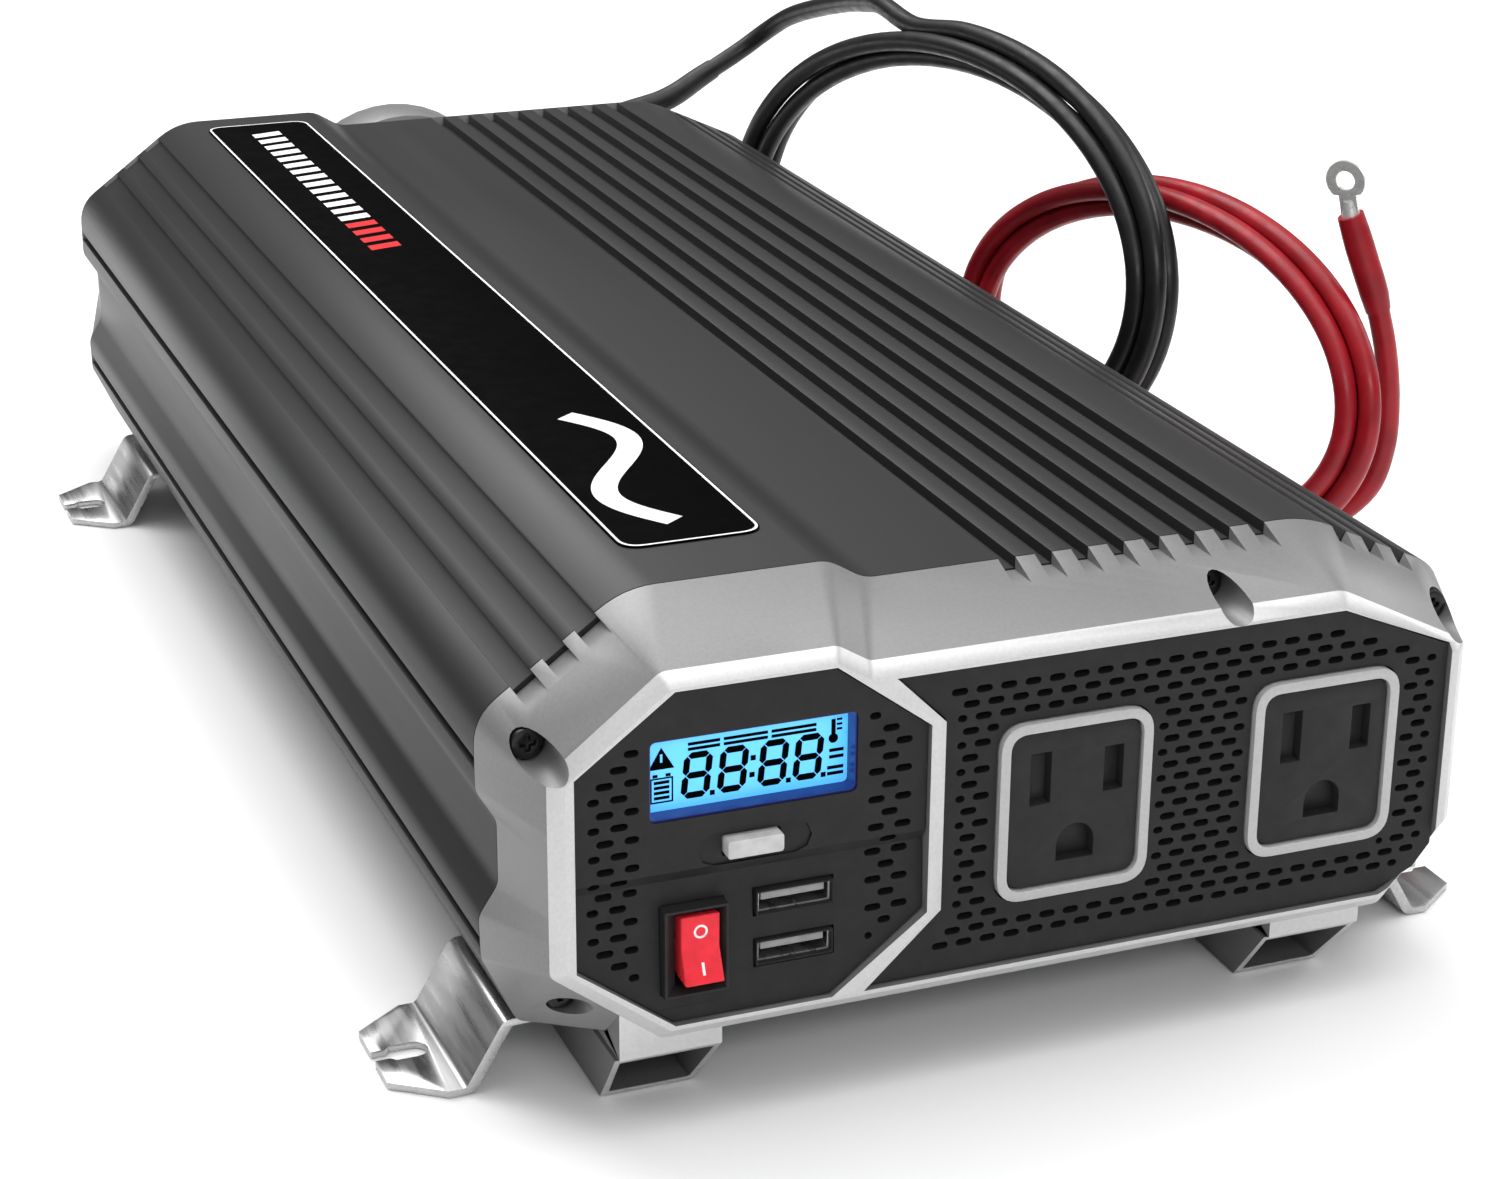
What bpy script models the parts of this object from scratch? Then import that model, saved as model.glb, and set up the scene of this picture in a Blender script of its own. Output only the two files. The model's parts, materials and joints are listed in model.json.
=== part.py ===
"""Power inverter: a grooved two-shell body between a front bezel and a rear cap, with its panel
controls, sockets, fan, boards, mounting brackets and two battery cables.

Metres, +Z up. The panel faces -Y, +X is to the right, and the part stands on z = 0.
"""

import math

import bmesh
import bpy
from mathutils import Matrix, Vector

MM = 0.001
GAP = 0.3 * MM

# Driving dimensions of the body
HALF_WIDTH = 85.5 * MM
BODY_LENGTH = 323 * MM
BODY_BOTTOM = 12.5 * MM
BODY_HEIGHT = 71.5 * MM
DECK_STEP = 3.8 * MM
SHELL_WALL = 3.5 * MM
SPLIT_RISE = 15.3 * MM

# End pieces
CAP_DEPTH = 19.5 * MM
RIM_BEVEL = 2.2 * MM
FLARE = 5.9 * MM
DECK_SLOPE = 6.8 * MM
FLOOR_SLOPE = 2.8 * MM
CAP_WALL = 3 * MM

# Openings in the front bezel
PANEL_MARGIN = 3.6 * MM
DISPLAY_OPENING_WIDTH = 58.2 * MM
OPENING_TOP = 2.7 * MM
OPENING_BOTTOM = 2.9 * MM
DIVIDER = 2.4 * MM
PANEL_SETBACK = 1 * MM
PANEL_THICKNESS = 3 * MM
LEDGE = 1 * MM

# Extruded grooves
DECK_GROOVES = 8
GROOVE_PITCH = 6.48 * MM
GROOVE_WIDTH = 3.1 * MM
GROOVE_DEPTH = 2 * MM
FIRST_GROOVE_X = 3.55 * MM
CHAMFER_GROOVES = 3
CHANNEL_WIDTH = 4.1 * MM
CHANNEL_DEPTH = 0.9 * MM
SIDE_GROOVE_RISE = 46.1 * MM
SIDE_GROOVE_HEIGHT = 2 * MM
SIDE_GROOVE_DEPTH = 1.5 * MM

# Fasteners
BEZEL_SCREW_DEPTH = 14 * MM
POCKET_RADIUS = 2.9 * MM
SCREW_HEAD_RADIUS = 2.6 * MM
SCREW_HEAD_HEIGHT = 2 * MM
SCREW_SHANK_RADIUS = 1.5 * MM
SCREW_SHANK_LENGTH = 12 * MM

# Foot rails and brackets
RAIL_BOTTOM_WIDTH = 16 * MM
RAIL_TOP_WIDTH = 18 * MM
RAIL_WALL = 1.2 * MM
RAIL_X = (-60 * MM, 55 * MM)
BRACKET_SHEET = 1.2 * MM
BRACKET_LENGTH = 30 * MM
BRACKET_REACH = 13.5 * MM
BRACKET_PLATE = 12 * MM
BRACKET_FLANGE = 10 * MM
BRACKET_FRONT = 17 * MM
BRACKET_REAR = 30 * MM
SLOT_BULB = 4.8 * MM
SLOT_THROAT = 3 * MM
SLOT_LENGTH = 9.2 * MM

# Panel pieces, measured from the display opening's left edge and from the body's underside
WINDOW = (11.6 * MM, 40.4 * MM, 35 * MM, 14.7 * MM)
MENU = (24.3 * MM, 33.15 * MM, 9.2 * MM, 3 * MM)
ROCKER = (13.9 * MM, 10.7 * MM, 10.8 * MM, 15.2 * MM)
WINDOW_POCKET = 2.6 * MM
USB = (29.3 * MM, (12.8 * MM, 21.4 * MM), 13.6 * MM, 4.9 * MM)
MENU_TRAVEL = 1 * MM
MENU_PROUD = 1.2 * MM
ROCKER_ANGLE = math.radians(24)
ROCKER_HALF = 5.7 * MM
ROCKER_WIDTH = 6.4 * MM
ROCKER_PIVOT_RADIUS = 2.6 * MM

# Sockets, measured from the outlet opening's right edge
OUTLET_FROM_RIGHT = (68.3 * MM, 22.96 * MM)
OUTLET_Z = 32 * MM
OUTLET_WIDTH = 27.4 * MM
OUTLET_HEIGHT = 31.4 * MM
OUTLET_RING = 2 * MM
OUTLET_CORNER = 5 * MM
OUTLET_DEPTH = 24 * MM
SOCKET_DEPTH = 12 * MM

# Fan and its collar
FAN_X = 0 * MM
FAN_RISE = 36.5 * MM
FAN_SIZE = 50 * MM
FAN_DEPTH = 15 * MM
FAN_BORE = 23.5 * MM
COLLAR_RADIUS = 28 * MM
COLLAR_WALL = 3 * MM
COLLAR_LENGTH = 12 * MM
BLADES = 7

# Cables
CABLE_RADIUS = 2.4 * MM
BOOT_RADIUS = 3.1 * MM
CABLE_X = 45.5 * MM
BLACK_CABLE_RISE = 47 * MM
RED_CABLE_RISE = 22 * MM

# The rocker's raised end is the foremost point and the fan collar the rearmost.
ROCKER_PROUD = 2.5 * MM
TOTAL_LENGTH = ROCKER_PROUD + 2 * CAP_DEPTH + BODY_LENGTH + COLLAR_LENGTH
FRONT_Y = -TOTAL_LENGTH / 2 + ROCKER_PROUD
BODY_FRONT = FRONT_Y + CAP_DEPTH
BODY_BACK = BODY_FRONT + BODY_LENGTH
REAR_Y = BODY_BACK + CAP_DEPTH
BODY_TOP = BODY_BOTTOM + BODY_HEIGHT
DECK_LOW = BODY_TOP - DECK_STEP
SPLIT_Z = BODY_BOTTOM + SPLIT_RISE
RIM_HALF = HALF_WIDTH - FLARE
RIM_TOP = BODY_TOP - DECK_SLOPE
RIM_LOW = DECK_LOW - DECK_SLOPE + 0.5 * MM
RIM_BOTTOM = BODY_BOTTOM + FLOOR_SLOPE
PANEL_Y = FRONT_Y + PANEL_SETBACK
LEDGE_Y = PANEL_Y + PANEL_THICKNESS + GAP
DISPLAY_LEFT = -RIM_HALF + PANEL_MARGIN
DISPLAY_RIGHT = DISPLAY_LEFT + DISPLAY_OPENING_WIDTH
OUTLET_LEFT = DISPLAY_RIGHT + DIVIDER
OUTLET_RIGHT = RIM_HALF - PANEL_MARGIN
SCREW_SEAT_DEPTH = CAP_DEPTH - BEZEL_SCREW_DEPTH

SHORT_SIDE = 12 * MM
EYE_HEIGHT = BODY_BOTTOM + 31 * MM

PARTS = None
CUTTERS = None


# ---------------------------------------------------------------- scene helpers


def clear_scene():
    for old in list(bpy.data.objects):
        bpy.data.objects.remove(old, do_unlink=True)


def new_collection(name):
    made = bpy.data.collections.new(name)
    bpy.context.scene.collection.children.link(made)
    return made


def material(name, colour, roughness, metallic=0.0):
    made = bpy.data.materials.new(name)
    made.use_nodes = True
    shader = made.node_tree.nodes["Principled BSDF"]
    shader.inputs["Base Color"].default_value = (*colour, 1)
    shader.inputs["Roughness"].default_value = roughness
    shader.inputs["Metallic"].default_value = metallic
    return made


def place(name, mesh, look):
    """A new part from a mesh, or a hidden cutter where there is no look."""
    made = bpy.data.objects.new(name, mesh)
    if look is None:
        made.hide_render = True
        made.display_type = "WIRE"
        CUTTERS.objects.link(made)
    else:
        mesh.materials.append(look)
        PARTS.objects.link(made)
    return made


def face_outwards(work):
    bmesh.ops.recalc_face_normals(work, faces=work.faces)
    if work.calc_volume(signed=True) < 0:
        bmesh.ops.reverse_faces(work, faces=work.faces)


def mesh_from(build, name):
    work = bmesh.new()
    build(work)
    face_outwards(work)
    mesh = bpy.data.meshes.new(name)
    work.to_mesh(mesh)
    work.free()
    return mesh


def box(name, low, high, look=None):
    """A box between two corners."""
    size = [b - a for a, b in zip(low, high)]
    middle = [(a + b) / 2 for a, b in zip(low, high)]
    matrix = Matrix.Translation(middle) @ Matrix.Diagonal((*size, 1))
    return place(
        name, mesh_from(lambda w: bmesh.ops.create_cube(w, size=1, matrix=matrix), name), look
    )


AXIS_TURN = {
    "X": Matrix.Rotation(math.pi / 2, 4, "Y"),
    "Y": Matrix.Rotation(-math.pi / 2, 4, "X"),
    "Z": Matrix.Identity(4),
}


def rod(name, radius, start, length, look=None, axis="Y", sides=24, end_radius=None):
    """A cylinder, or a cone with end_radius, from start along an axis."""
    turn = AXIS_TURN[axis]
    matrix = Matrix.Translation(start) @ turn @ Matrix.Translation((0, 0, length / 2))
    tip = radius if end_radius is None else end_radius

    def build(work):
        bmesh.ops.create_cone(
            work, cap_ends=True, segments=sides, radius1=radius, radius2=tip, depth=length,
            matrix=matrix,
        )

    made = place(name, mesh_from(build, name), look)
    made.data.shade_smooth()
    made.data.set_sharp_from_angle(angle=math.radians(40))
    return made


def to_mesh(curve_object, name, look):
    """Turns a curve object into a mesh part, with its caps welded."""
    bpy.context.view_layer.update()
    evaluated = curve_object.evaluated_get(bpy.context.evaluated_depsgraph_get())
    mesh = bpy.data.meshes.new_from_object(evaluated)
    matrix = curve_object.matrix_world.copy()
    bpy.data.objects.remove(curve_object)
    work = bmesh.new()
    work.from_mesh(mesh)
    bmesh.ops.remove_doubles(work, verts=work.verts, dist=1e-6)
    bmesh.ops.transform(work, matrix=matrix, verts=work.verts)
    face_outwards(work)
    work.to_mesh(mesh)
    work.free()
    mesh.materials.clear()
    return place(name, mesh, look)


def sheet(name, outlines, start, thickness, look=None, axis="Y"):
    """A flat outline with holes, thickened along an axis.

    Outlines are (x, z) points for Y, (y, z) points for X and (x, y) points for Z.
    """
    data = bpy.data.curves.new(name, "CURVE")
    data.dimensions = "2D"
    data.fill_mode = "BOTH"
    data.extrude = thickness / 2
    for outline in outlines:
        spline = data.splines.new("POLY")
        spline.points.add(len(outline) - 1)
        for point, (across, up) in zip(spline.points, outline):
            point.co = (across, up, 0, 1)
        spline.use_cyclic_u = True
    made = bpy.data.objects.new(name, data)
    middle = start + thickness / 2
    if axis == "Y":
        made.matrix_world = Matrix.Translation((0, middle, 0)) @ Matrix.Rotation(
            math.pi / 2, 4, "X"
        )
    elif axis == "X":
        made.matrix_world = (
            Matrix.Translation((middle, 0, 0))
            @ Matrix.Rotation(math.pi / 2, 4, "Z")
            @ Matrix.Rotation(math.pi / 2, 4, "X")
        )
    else:
        made.matrix_world = Matrix.Translation((0, 0, middle))
    PARTS.objects.link(made)
    return to_mesh(made, name, look)


def loft(name, rings, look=None):
    """A closed solid through rings of (x, z) points, each at its own y."""

    def build(work):
        loops = [[work.verts.new((x, y, z)) for x, z in points] for y, points in rings]
        count = len(loops[0])
        for first, second in zip(loops, loops[1:]):
            for i in range(count):
                j = (i + 1) % count
                work.faces.new((first[i], first[j], second[j], second[i]))
        work.faces.new(loops[0])
        work.faces.new(loops[-1])

    return place(name, mesh_from(build, name), look)


def boolean(target, other, operation):
    modifier = target.modifiers.new(other.name, "BOOLEAN")
    modifier.operation = operation
    modifier.object = other
    modifier.solver = "EXACT"


def cut(target, *cutters):
    for cutter in cutters:
        boolean(target, cutter, "DIFFERENCE")


def join(target, *others):
    for other in others:
        boolean(target, other, "UNION")


# ---------------------------------------------------------------- outlines


def rounded(corners, steps=3):
    """An outline whose (x, z, radius) corners are replaced by arcs of steps + 1 points."""
    points = []
    count = len(corners)
    for i, (x, z, radius) in enumerate(corners):
        here = Vector((x, z))
        before = Vector(corners[i - 1][:2]) - here
        after = Vector(corners[(i + 1) % count][:2]) - here
        half_turn = (math.pi - before.angle(after)) / 2
        reach = max(radius * math.tan(half_turn), 0.5 * MM)
        reach = min(reach, before.length * 0.45, after.length * 0.45)
        start = here + before.normalized() * reach
        end = here + after.normalized() * reach
        for step in range(steps + 1):
            t = step / steps
            point = start * (1 - t) ** 2 + here * 2 * t * (1 - t) + end * t**2
            points.append((point.x, point.y))
    return points


def rectangle(left, bottom, width, height):
    return [
        (left, bottom),
        (left + width, bottom),
        (left + width, bottom + height),
        (left, bottom + height),
    ]


def rounded_rectangle(left, bottom, width, height, radius, steps=4):
    return rounded([(x, z, radius) for x, z in rectangle(left, bottom, width, height)], steps)


def circle(x, z, radius, sides=32):
    return [
        (
            x + radius * math.cos(2 * math.pi * i / sides),
            z + radius * math.sin(2 * math.pi * i / sides),
        )
        for i in range(sides)
    ]


def section_corners():
    """The body's cross-section corners, clockwise from the lower left, as (x, z, radius)."""
    low = BODY_BOTTOM
    side = HALF_WIDTH
    waist = HALF_WIDTH - 3.3 * MM
    left = [
        (-side + 6 * MM, low, 3 * MM),
        (-side + 0.2 * MM, low + 12.7 * MM, 3 * MM),
        (-side, low + 20 * MM, 4 * MM),
        (-waist, low + 25 * MM, 4 * MM),
        (-waist, low + 36 * MM, 4 * MM),
        (-side, low + 41.5 * MM, 4 * MM),
        (-side, BODY_TOP - 17.9 * MM, 9 * MM),
        (-side + 24.2 * MM, BODY_TOP, 16 * MM),
    ]
    step = [
        (-side + 58 * MM, BODY_TOP, 7 * MM),
        (-side + 64.3 * MM, DECK_LOW, 7 * MM),
        (side - 27.2 * MM, DECK_LOW, 24 * MM),
        (side, DECK_LOW - 12.6 * MM, 8 * MM),
    ]
    right = [(-x, z, radius) for x, z, radius in reversed(left[:6])]
    return left + step + right


def rim_corners():
    """The end outline's corners, one for each of section_corners."""
    low = RIM_BOTTOM
    side = RIM_HALF
    left = [
        (-side + 18 * MM, low, 2 * MM),
        (-side, low + 14 * MM, 2 * MM),
        (-side, low + 20 * MM, 4 * MM),
        (-side, low + 24 * MM, 4 * MM),
        (-side, low + 33 * MM, 4 * MM),
        (-side, low + 38 * MM, 4 * MM),
        (-side, RIM_TOP - 14.2 * MM, 3 * MM),
        (-side + 18.1 * MM, RIM_TOP, 3 * MM),
    ]
    step = [
        (-side + 46.6 * MM, RIM_TOP, 3 * MM),
        (-side + 52 * MM, RIM_LOW, 3 * MM),
        (side - 24.1 * MM, RIM_LOW, 6 * MM),
        (side, RIM_LOW - 12.2 * MM, 2 * MM),
    ]
    right = [(-x, z, radius) for x, z, radius in reversed(left[1:6])]
    corner = [(side - 12.5 * MM, low, 2 * MM)]
    return left + step + right + corner


def inset(corners, distance):
    """The corners moved inwards by a distance, along the lines that meet there."""
    moved = []
    count = len(corners)
    for i, (x, z, radius) in enumerate(corners):
        before = Vector(corners[i - 1][:2])
        here = Vector((x, z))
        after = Vector(corners[(i + 1) % count][:2])
        first = (here - before).normalized()
        second = (after - here).normalized()
        first_normal = Vector((first.y, -first.x))
        second_normal = Vector((second.y, -second.x))
        bisector = (first_normal + second_normal).normalized()
        reach = distance / max(bisector.dot(first_normal), 0.3)
        point = here + bisector * reach
        moved.append((point.x, point.y, max(radius - distance, 1 * MM)))
    return moved


def drawn_in(corners, margin):
    """The (x, z) points of a sharp-cornered outline drawn in by a margin."""
    sharp = [(x, z, 0) for x, z in corners]
    return [(x, z) for x, z, _ in inset(sharp, margin)]


def display_outline(margin=0.0):
    """The eight-sided display opening, clockwise, drawn in by a margin."""
    low = RIM_BOTTOM + OPENING_BOTTOM
    top = RIM_TOP - OPENING_TOP
    left = DISPLAY_LEFT
    right = DISPLAY_RIGHT
    across = 16 * MM
    rise = 12 * MM
    corners = [
        (left + across, low),
        (left, low + rise),
        (left, top - rise),
        (left + across, top),
        (right - across, top),
        (right, top - rise),
        (right, low + rise),
        (right - across, low),
    ]
    return drawn_in(corners, margin)


def outlet_outline(margin=0.0):
    """The outlet opening, whose left side follows the display opening, drawn in by a margin."""
    low = RIM_BOTTOM + OPENING_BOTTOM
    top = RIM_LOW - OPENING_TOP
    left = OUTLET_LEFT
    right = OUTLET_RIGHT
    corners = [
        (left - 13 * MM, low),
        (left, low + 12 * MM),
        (left, top - 8.5 * MM),
        (left - 8.5 * MM, top),
        (right - 21 * MM, top),
        (right, top - 9 * MM),
        (right, low + 7.4 * MM),
        (right - 3.2 * MM, low + 3.4 * MM),
        (right - 10.3 * MM, low),
    ]
    return drawn_in(corners, margin)


def screw_places():
    """(x, z) of the corner screws, then of the extra one under the front's low deck."""
    high = RIM_TOP - 13 * MM
    low = RIM_BOTTOM + 5.5 * MM
    out = RIM_HALF - 0.3 * MM
    return [
        (-out, high),
        (out, high),
        (-out + 4.5 * MM, low),
        (out - 4.5 * MM, low),
        (RIM_HALF - 43.6 * MM, RIM_LOW + 0.2 * MM),
    ]


# ---------------------------------------------------------------- body shells


def body_block(name, look):
    outline = rounded(section_corners())
    return loft(name, [(BODY_FRONT + GAP, outline), (BODY_BACK - GAP, outline)], look)


def body_hollow(name):
    outline = rounded(inset(section_corners(), SHELL_WALL))
    return loft(name, [(BODY_FRONT - 5 * MM, outline), (BODY_BACK + 5 * MM, outline)])


def slope_cutter(name, start, end, along, width, depth):
    """A full-length groove cutter centred at a distance along the line from start to end."""
    direction = (Vector(end) - Vector(start)).normalized()
    centre = Vector(start) + direction * along
    angle = math.atan2(direction.y, direction.x)
    cutter = box(
        name,
        (-width / 2, BODY_FRONT - 2 * MM, -depth),
        (width / 2, BODY_BACK + 2 * MM, 4 * MM),
    )
    cutter.matrix_world = Matrix.Translation((centre.x, 0, centre.y)) @ Matrix.Rotation(
        -angle, 4, "Y"
    )
    return cutter


def upper_shell(look):
    shell = body_block("upper_shell", look)
    below = box(
        "below_split",
        (-HALF_WIDTH - 9 * MM, BODY_FRONT - 9 * MM, BODY_BOTTOM - 9 * MM),
        (HALF_WIDTH + 9 * MM, BODY_BACK + 9 * MM, SPLIT_Z + GAP / 2),
    )
    cut(shell, body_hollow("upper_hollow"), below)
    add_screw_channels(shell, "upper", [0, 1, 4])
    corners = section_corners()
    deck_left, deck_right = corners[9][:2], corners[10][:2]
    for i in range(DECK_GROOVES):
        along = FIRST_GROOVE_X + i * GROOVE_PITCH - deck_left[0]
        cut(
            shell,
            slope_cutter(
                f"deck_groove_{i + 1}", deck_left, deck_right, along, GROOVE_WIDTH, GROOVE_DEPTH
            ),
        )
    for i in range(CHAMFER_GROOVES):
        along = 7.3 * MM + i * GROOVE_PITCH
        cut(
            shell,
            slope_cutter(
                f"right_groove_{i + 1}", deck_right, corners[11][:2], along, GROOVE_WIDTH, 1.5 * MM
            ),
        )
        along = 9.4 * MM + i * GROOVE_PITCH
        cut(
            shell,
            slope_cutter(
                f"left_channel_{i + 1}", corners[6][:2], corners[7][:2], along,
                CHANNEL_WIDTH, CHANNEL_DEPTH,
            ),
        )
    for side in (-1, 1):
        groove_z = BODY_BOTTOM + SIDE_GROOVE_RISE
        cut(shell, side_groove(f"side_groove_{side}", side, groove_z))
        cut(shell, side_groove(f"upper_seam_{side}", side, SPLIT_Z))
    return shell


def side_groove(name, side, middle_z):
    inner = side * (HALF_WIDTH - SIDE_GROOVE_DEPTH)
    outer = side * (HALF_WIDTH + 5 * MM)
    return box(
        name,
        (min(inner, outer), BODY_FRONT - 2 * MM, middle_z - SIDE_GROOVE_HEIGHT / 2),
        (max(inner, outer), BODY_BACK + 2 * MM, middle_z + SIDE_GROOVE_HEIGHT / 2),
    )


def lower_shell(look):
    shell = body_block("lower_shell", look)
    above = box(
        "above_split",
        (-HALF_WIDTH - 9 * MM, BODY_FRONT - 9 * MM, SPLIT_Z - GAP / 2),
        (HALF_WIDTH + 9 * MM, BODY_BACK + 9 * MM, BODY_TOP + 9 * MM),
    )
    cut(shell, body_hollow("lower_hollow"), above)
    add_screw_channels(shell, "lower", [2, 3])
    for side in (-1, 1):
        cut(shell, side_groove(f"lower_seam_{side}", side, SPLIT_Z))
    for number, (x, y) in enumerate(bracket_screw_places()):
        hole = rod(
            f"bracket_hole_{number}", SCREW_SHANK_RADIUS + GAP,
            (x, y, BODY_BOTTOM - 2 * MM), SHELL_WALL + 4 * MM, axis="Z", sides=16,
        )
        cut(shell, hole)
    return shell


def add_screw_channels(shell, prefix, numbers):
    """Round screw channels along the shell's full length, open at both ends."""
    for number in numbers:
        x, z = screw_places()[number]
        radius = 5.6 * MM if prefix == "lower" else 4.2 * MM
        join(
            shell,
            rod(
                f"{prefix}_channel_{number}", radius, (x, BODY_FRONT + GAP, z),
                BODY_LENGTH - 2 * GAP, sides=16,
            ),
        )
        cut(
            shell,
            rod(
                f"{prefix}_channel_bore_{number}", SCREW_SHANK_RADIUS + GAP,
                (x, BODY_FRONT - 5 * MM, z), BODY_LENGTH + 10 * MM, sides=16,
            ),
        )


# ---------------------------------------------------------------- end pieces


def end_block(name, look, front):
    """The flared solid between a body end and its outer rim."""
    section = rounded(section_corners())
    rim = rounded(rim_corners())
    lip = rounded(inset(rim_corners(), RIM_BEVEL))
    if front:
        rings = [(BODY_FRONT, section), (FRONT_Y + RIM_BEVEL, rim), (FRONT_Y, lip)]
    else:
        rings = [(BODY_BACK, section), (REAR_Y - RIM_BEVEL, rim), (REAR_Y, lip)]
    return loft(name, rings, look)


def cut_pockets(target, prefix, numbers, front):
    """Screw pockets from the outer face, and the shank holes behind them."""
    for number in numbers:
        x, z = screw_places()[number]
        if front:
            pocket_start = FRONT_Y - 5 * MM
            hole_start = FRONT_Y + BEZEL_SCREW_DEPTH - 1 * MM
        else:
            pocket_start = REAR_Y - BEZEL_SCREW_DEPTH
            hole_start = BODY_BACK - 2 * MM
        cut(
            target,
            rod(
                f"{prefix}_pocket_{number}", POCKET_RADIUS, (x, pocket_start, z),
                BEZEL_SCREW_DEPTH + 5 * MM, sides=24,
            ),
            rod(
                f"{prefix}_hole_{number}", SCREW_SHANK_RADIUS + GAP, (x, hole_start, z),
                SCREW_SEAT_DEPTH + 3 * MM, sides=16,
            ),
        )


def front_bezel(look):
    bezel = end_block("front_bezel", look, True)
    for x in RAIL_X:
        join(bezel, rail_lip(f"rail_lip_{x:.3f}", x))
    depth = CAP_DEPTH + 10 * MM
    cut(
        bezel,
        sheet("display_cut", [display_outline()], FRONT_Y - 5 * MM, LEDGE_Y - FRONT_Y + 5 * MM),
        sheet("outlet_cut", [outlet_outline()], FRONT_Y - 5 * MM, LEDGE_Y - FRONT_Y + 5 * MM),
        sheet("display_ledge_cut", [display_outline(LEDGE)], FRONT_Y, depth),
        sheet("outlet_ledge_cut", [outlet_outline(LEDGE)], FRONT_Y, depth),
    )
    cut_pockets(bezel, "front", range(5), True)
    return bezel


def rail_lip(name, x):
    """The bezel's flat pad over a foot rail."""
    return box(
        name,
        (x - RAIL_TOP_WIDTH / 2 + 0.5 * MM, FRONT_Y + RIM_BEVEL, BODY_BOTTOM),
        (x + RAIL_TOP_WIDTH / 2 - 0.5 * MM, BODY_FRONT, BODY_BOTTOM + 8 * MM),
    )


def rear_cap(look):
    cap = end_block("rear_cap", look, False)
    fan_z = BODY_BOTTOM + FAN_RISE
    join(
        cap,
        rod("collar", COLLAR_RADIUS, (FAN_X, REAR_Y - 2 * MM, fan_z), COLLAR_LENGTH + 2 * MM,
            sides=40),
    )
    hollow = box(
        "cap_hollow",
        (-HALF_WIDTH + 24 * MM, BODY_BACK - 5 * MM, BODY_BOTTOM + 8 * MM),
        (HALF_WIDTH - 30 * MM, REAR_Y - CAP_WALL, DECK_LOW - 10 * MM),
    )
    bore = rod(
        "collar_bore", COLLAR_RADIUS - COLLAR_WALL, (FAN_X, REAR_Y - 8 * MM, fan_z),
        COLLAR_LENGTH + 12 * MM, sides=40,
    )
    cut(cap, hollow, bore)
    for number, rise in enumerate((BLACK_CABLE_RISE, RED_CABLE_RISE)):
        cut(
            cap,
            rod(
                f"cable_hole_{number}", BOOT_RADIUS + GAP,
                (CABLE_X, REAR_Y - 8 * MM, BODY_BOTTOM + rise), 12 * MM, sides=20,
            ),
        )
    cut_pockets(cap, "rear", range(4), False)
    return cap


def end_screw(name, number, front, look):
    """A pan-head screw: the head in its pocket, the shank in the shell's channel."""
    x, z = screw_places()[number]
    if front:
        seat = FRONT_Y + BEZEL_SCREW_DEPTH - GAP
        head_start = seat - SCREW_HEAD_HEIGHT
        shank_start = seat - 0.5 * MM
    else:
        seat = REAR_Y - BEZEL_SCREW_DEPTH + GAP
        head_start = seat
        shank_start = seat + 0.5 * MM - SCREW_SHANK_LENGTH - SCREW_SEAT_DEPTH
    head = rod(name, SCREW_HEAD_RADIUS, (x, head_start, z), SCREW_HEAD_HEIGHT, look, sides=20)
    shank = rod(
        name + "_shank", SCREW_SHANK_RADIUS, (x, shank_start, z),
        SCREW_SHANK_LENGTH + SCREW_SEAT_DEPTH, sides=12,
    )
    join(head, shank)
    recess_start = head_start - 1 * MM if front else head_start + SCREW_HEAD_HEIGHT - 1 * MM
    for turned in (False, True):
        across, up = (2.6 * MM, 0.8 * MM) if turned else (0.8 * MM, 2.6 * MM)
        cut(
            head,
            box(
                f"{name}_cross_{turned}",
                (x - across / 2, recess_start, z - up / 2),
                (x + across / 2, recess_start + 2 * MM, z + up / 2),
            ),
        )
    return head


# ---------------------------------------------------------------- feet and brackets


def foot_rail(name, x, look):
    """A hollow trapezoid rail whose ends are cut back towards the floor."""
    half_low = RAIL_BOTTOM_WIDTH / 2
    half_top = RAIL_TOP_WIDTH / 2
    top = BODY_BOTTOM - GAP
    rail_front = FRONT_Y + 3 * MM
    rail_back = REAR_Y - 3 * MM
    slant = 10.5 * MM

    def ring(wall):
        return [
            (x - half_top + wall, top - wall),
            (x + half_top - wall, top - wall),
            (x + half_low - wall, wall),
            (x - half_low + wall, wall),
        ]

    def build(work, wall, reach):
        loops = []
        for start, lean in ((rail_front - reach, 1), (rail_back + reach, -1)):
            loop = []
            for px, pz in ring(wall):
                setback = slant * (top - pz) / top
                loop.append(work.verts.new((px, start + lean * setback, pz)))
            loops.append(loop)
        for i in range(4):
            j = (i + 1) % 4
            work.faces.new((loops[0][i], loops[0][j], loops[1][j], loops[1][i]))
        work.faces.new(loops[0])
        work.faces.new(loops[1])

    rail = place(name, mesh_from(lambda w: build(w, 0, 0), name), look)
    hollow = place(name + "_hollow", mesh_from(lambda w: build(w, RAIL_WALL, 3 * MM), name), None)
    cut(rail, hollow)
    return rail


def bracket_places():
    """Each bracket's name, side and middle y."""
    front = BODY_FRONT + BRACKET_FRONT
    rear = BODY_BACK - BRACKET_REAR
    return [
        ("bracket_front_left", -1, front),
        ("bracket_front_right", 1, front),
        ("bracket_rear_left", -1, rear),
        ("bracket_rear_right", 1, rear),
    ]


def bracket_screw_places():
    flange_middle = HALF_WIDTH - 6 * MM - BRACKET_FLANGE / 2 + 1 * MM
    return [(side * flange_middle, y) for _, side, y in bracket_places()]


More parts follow.
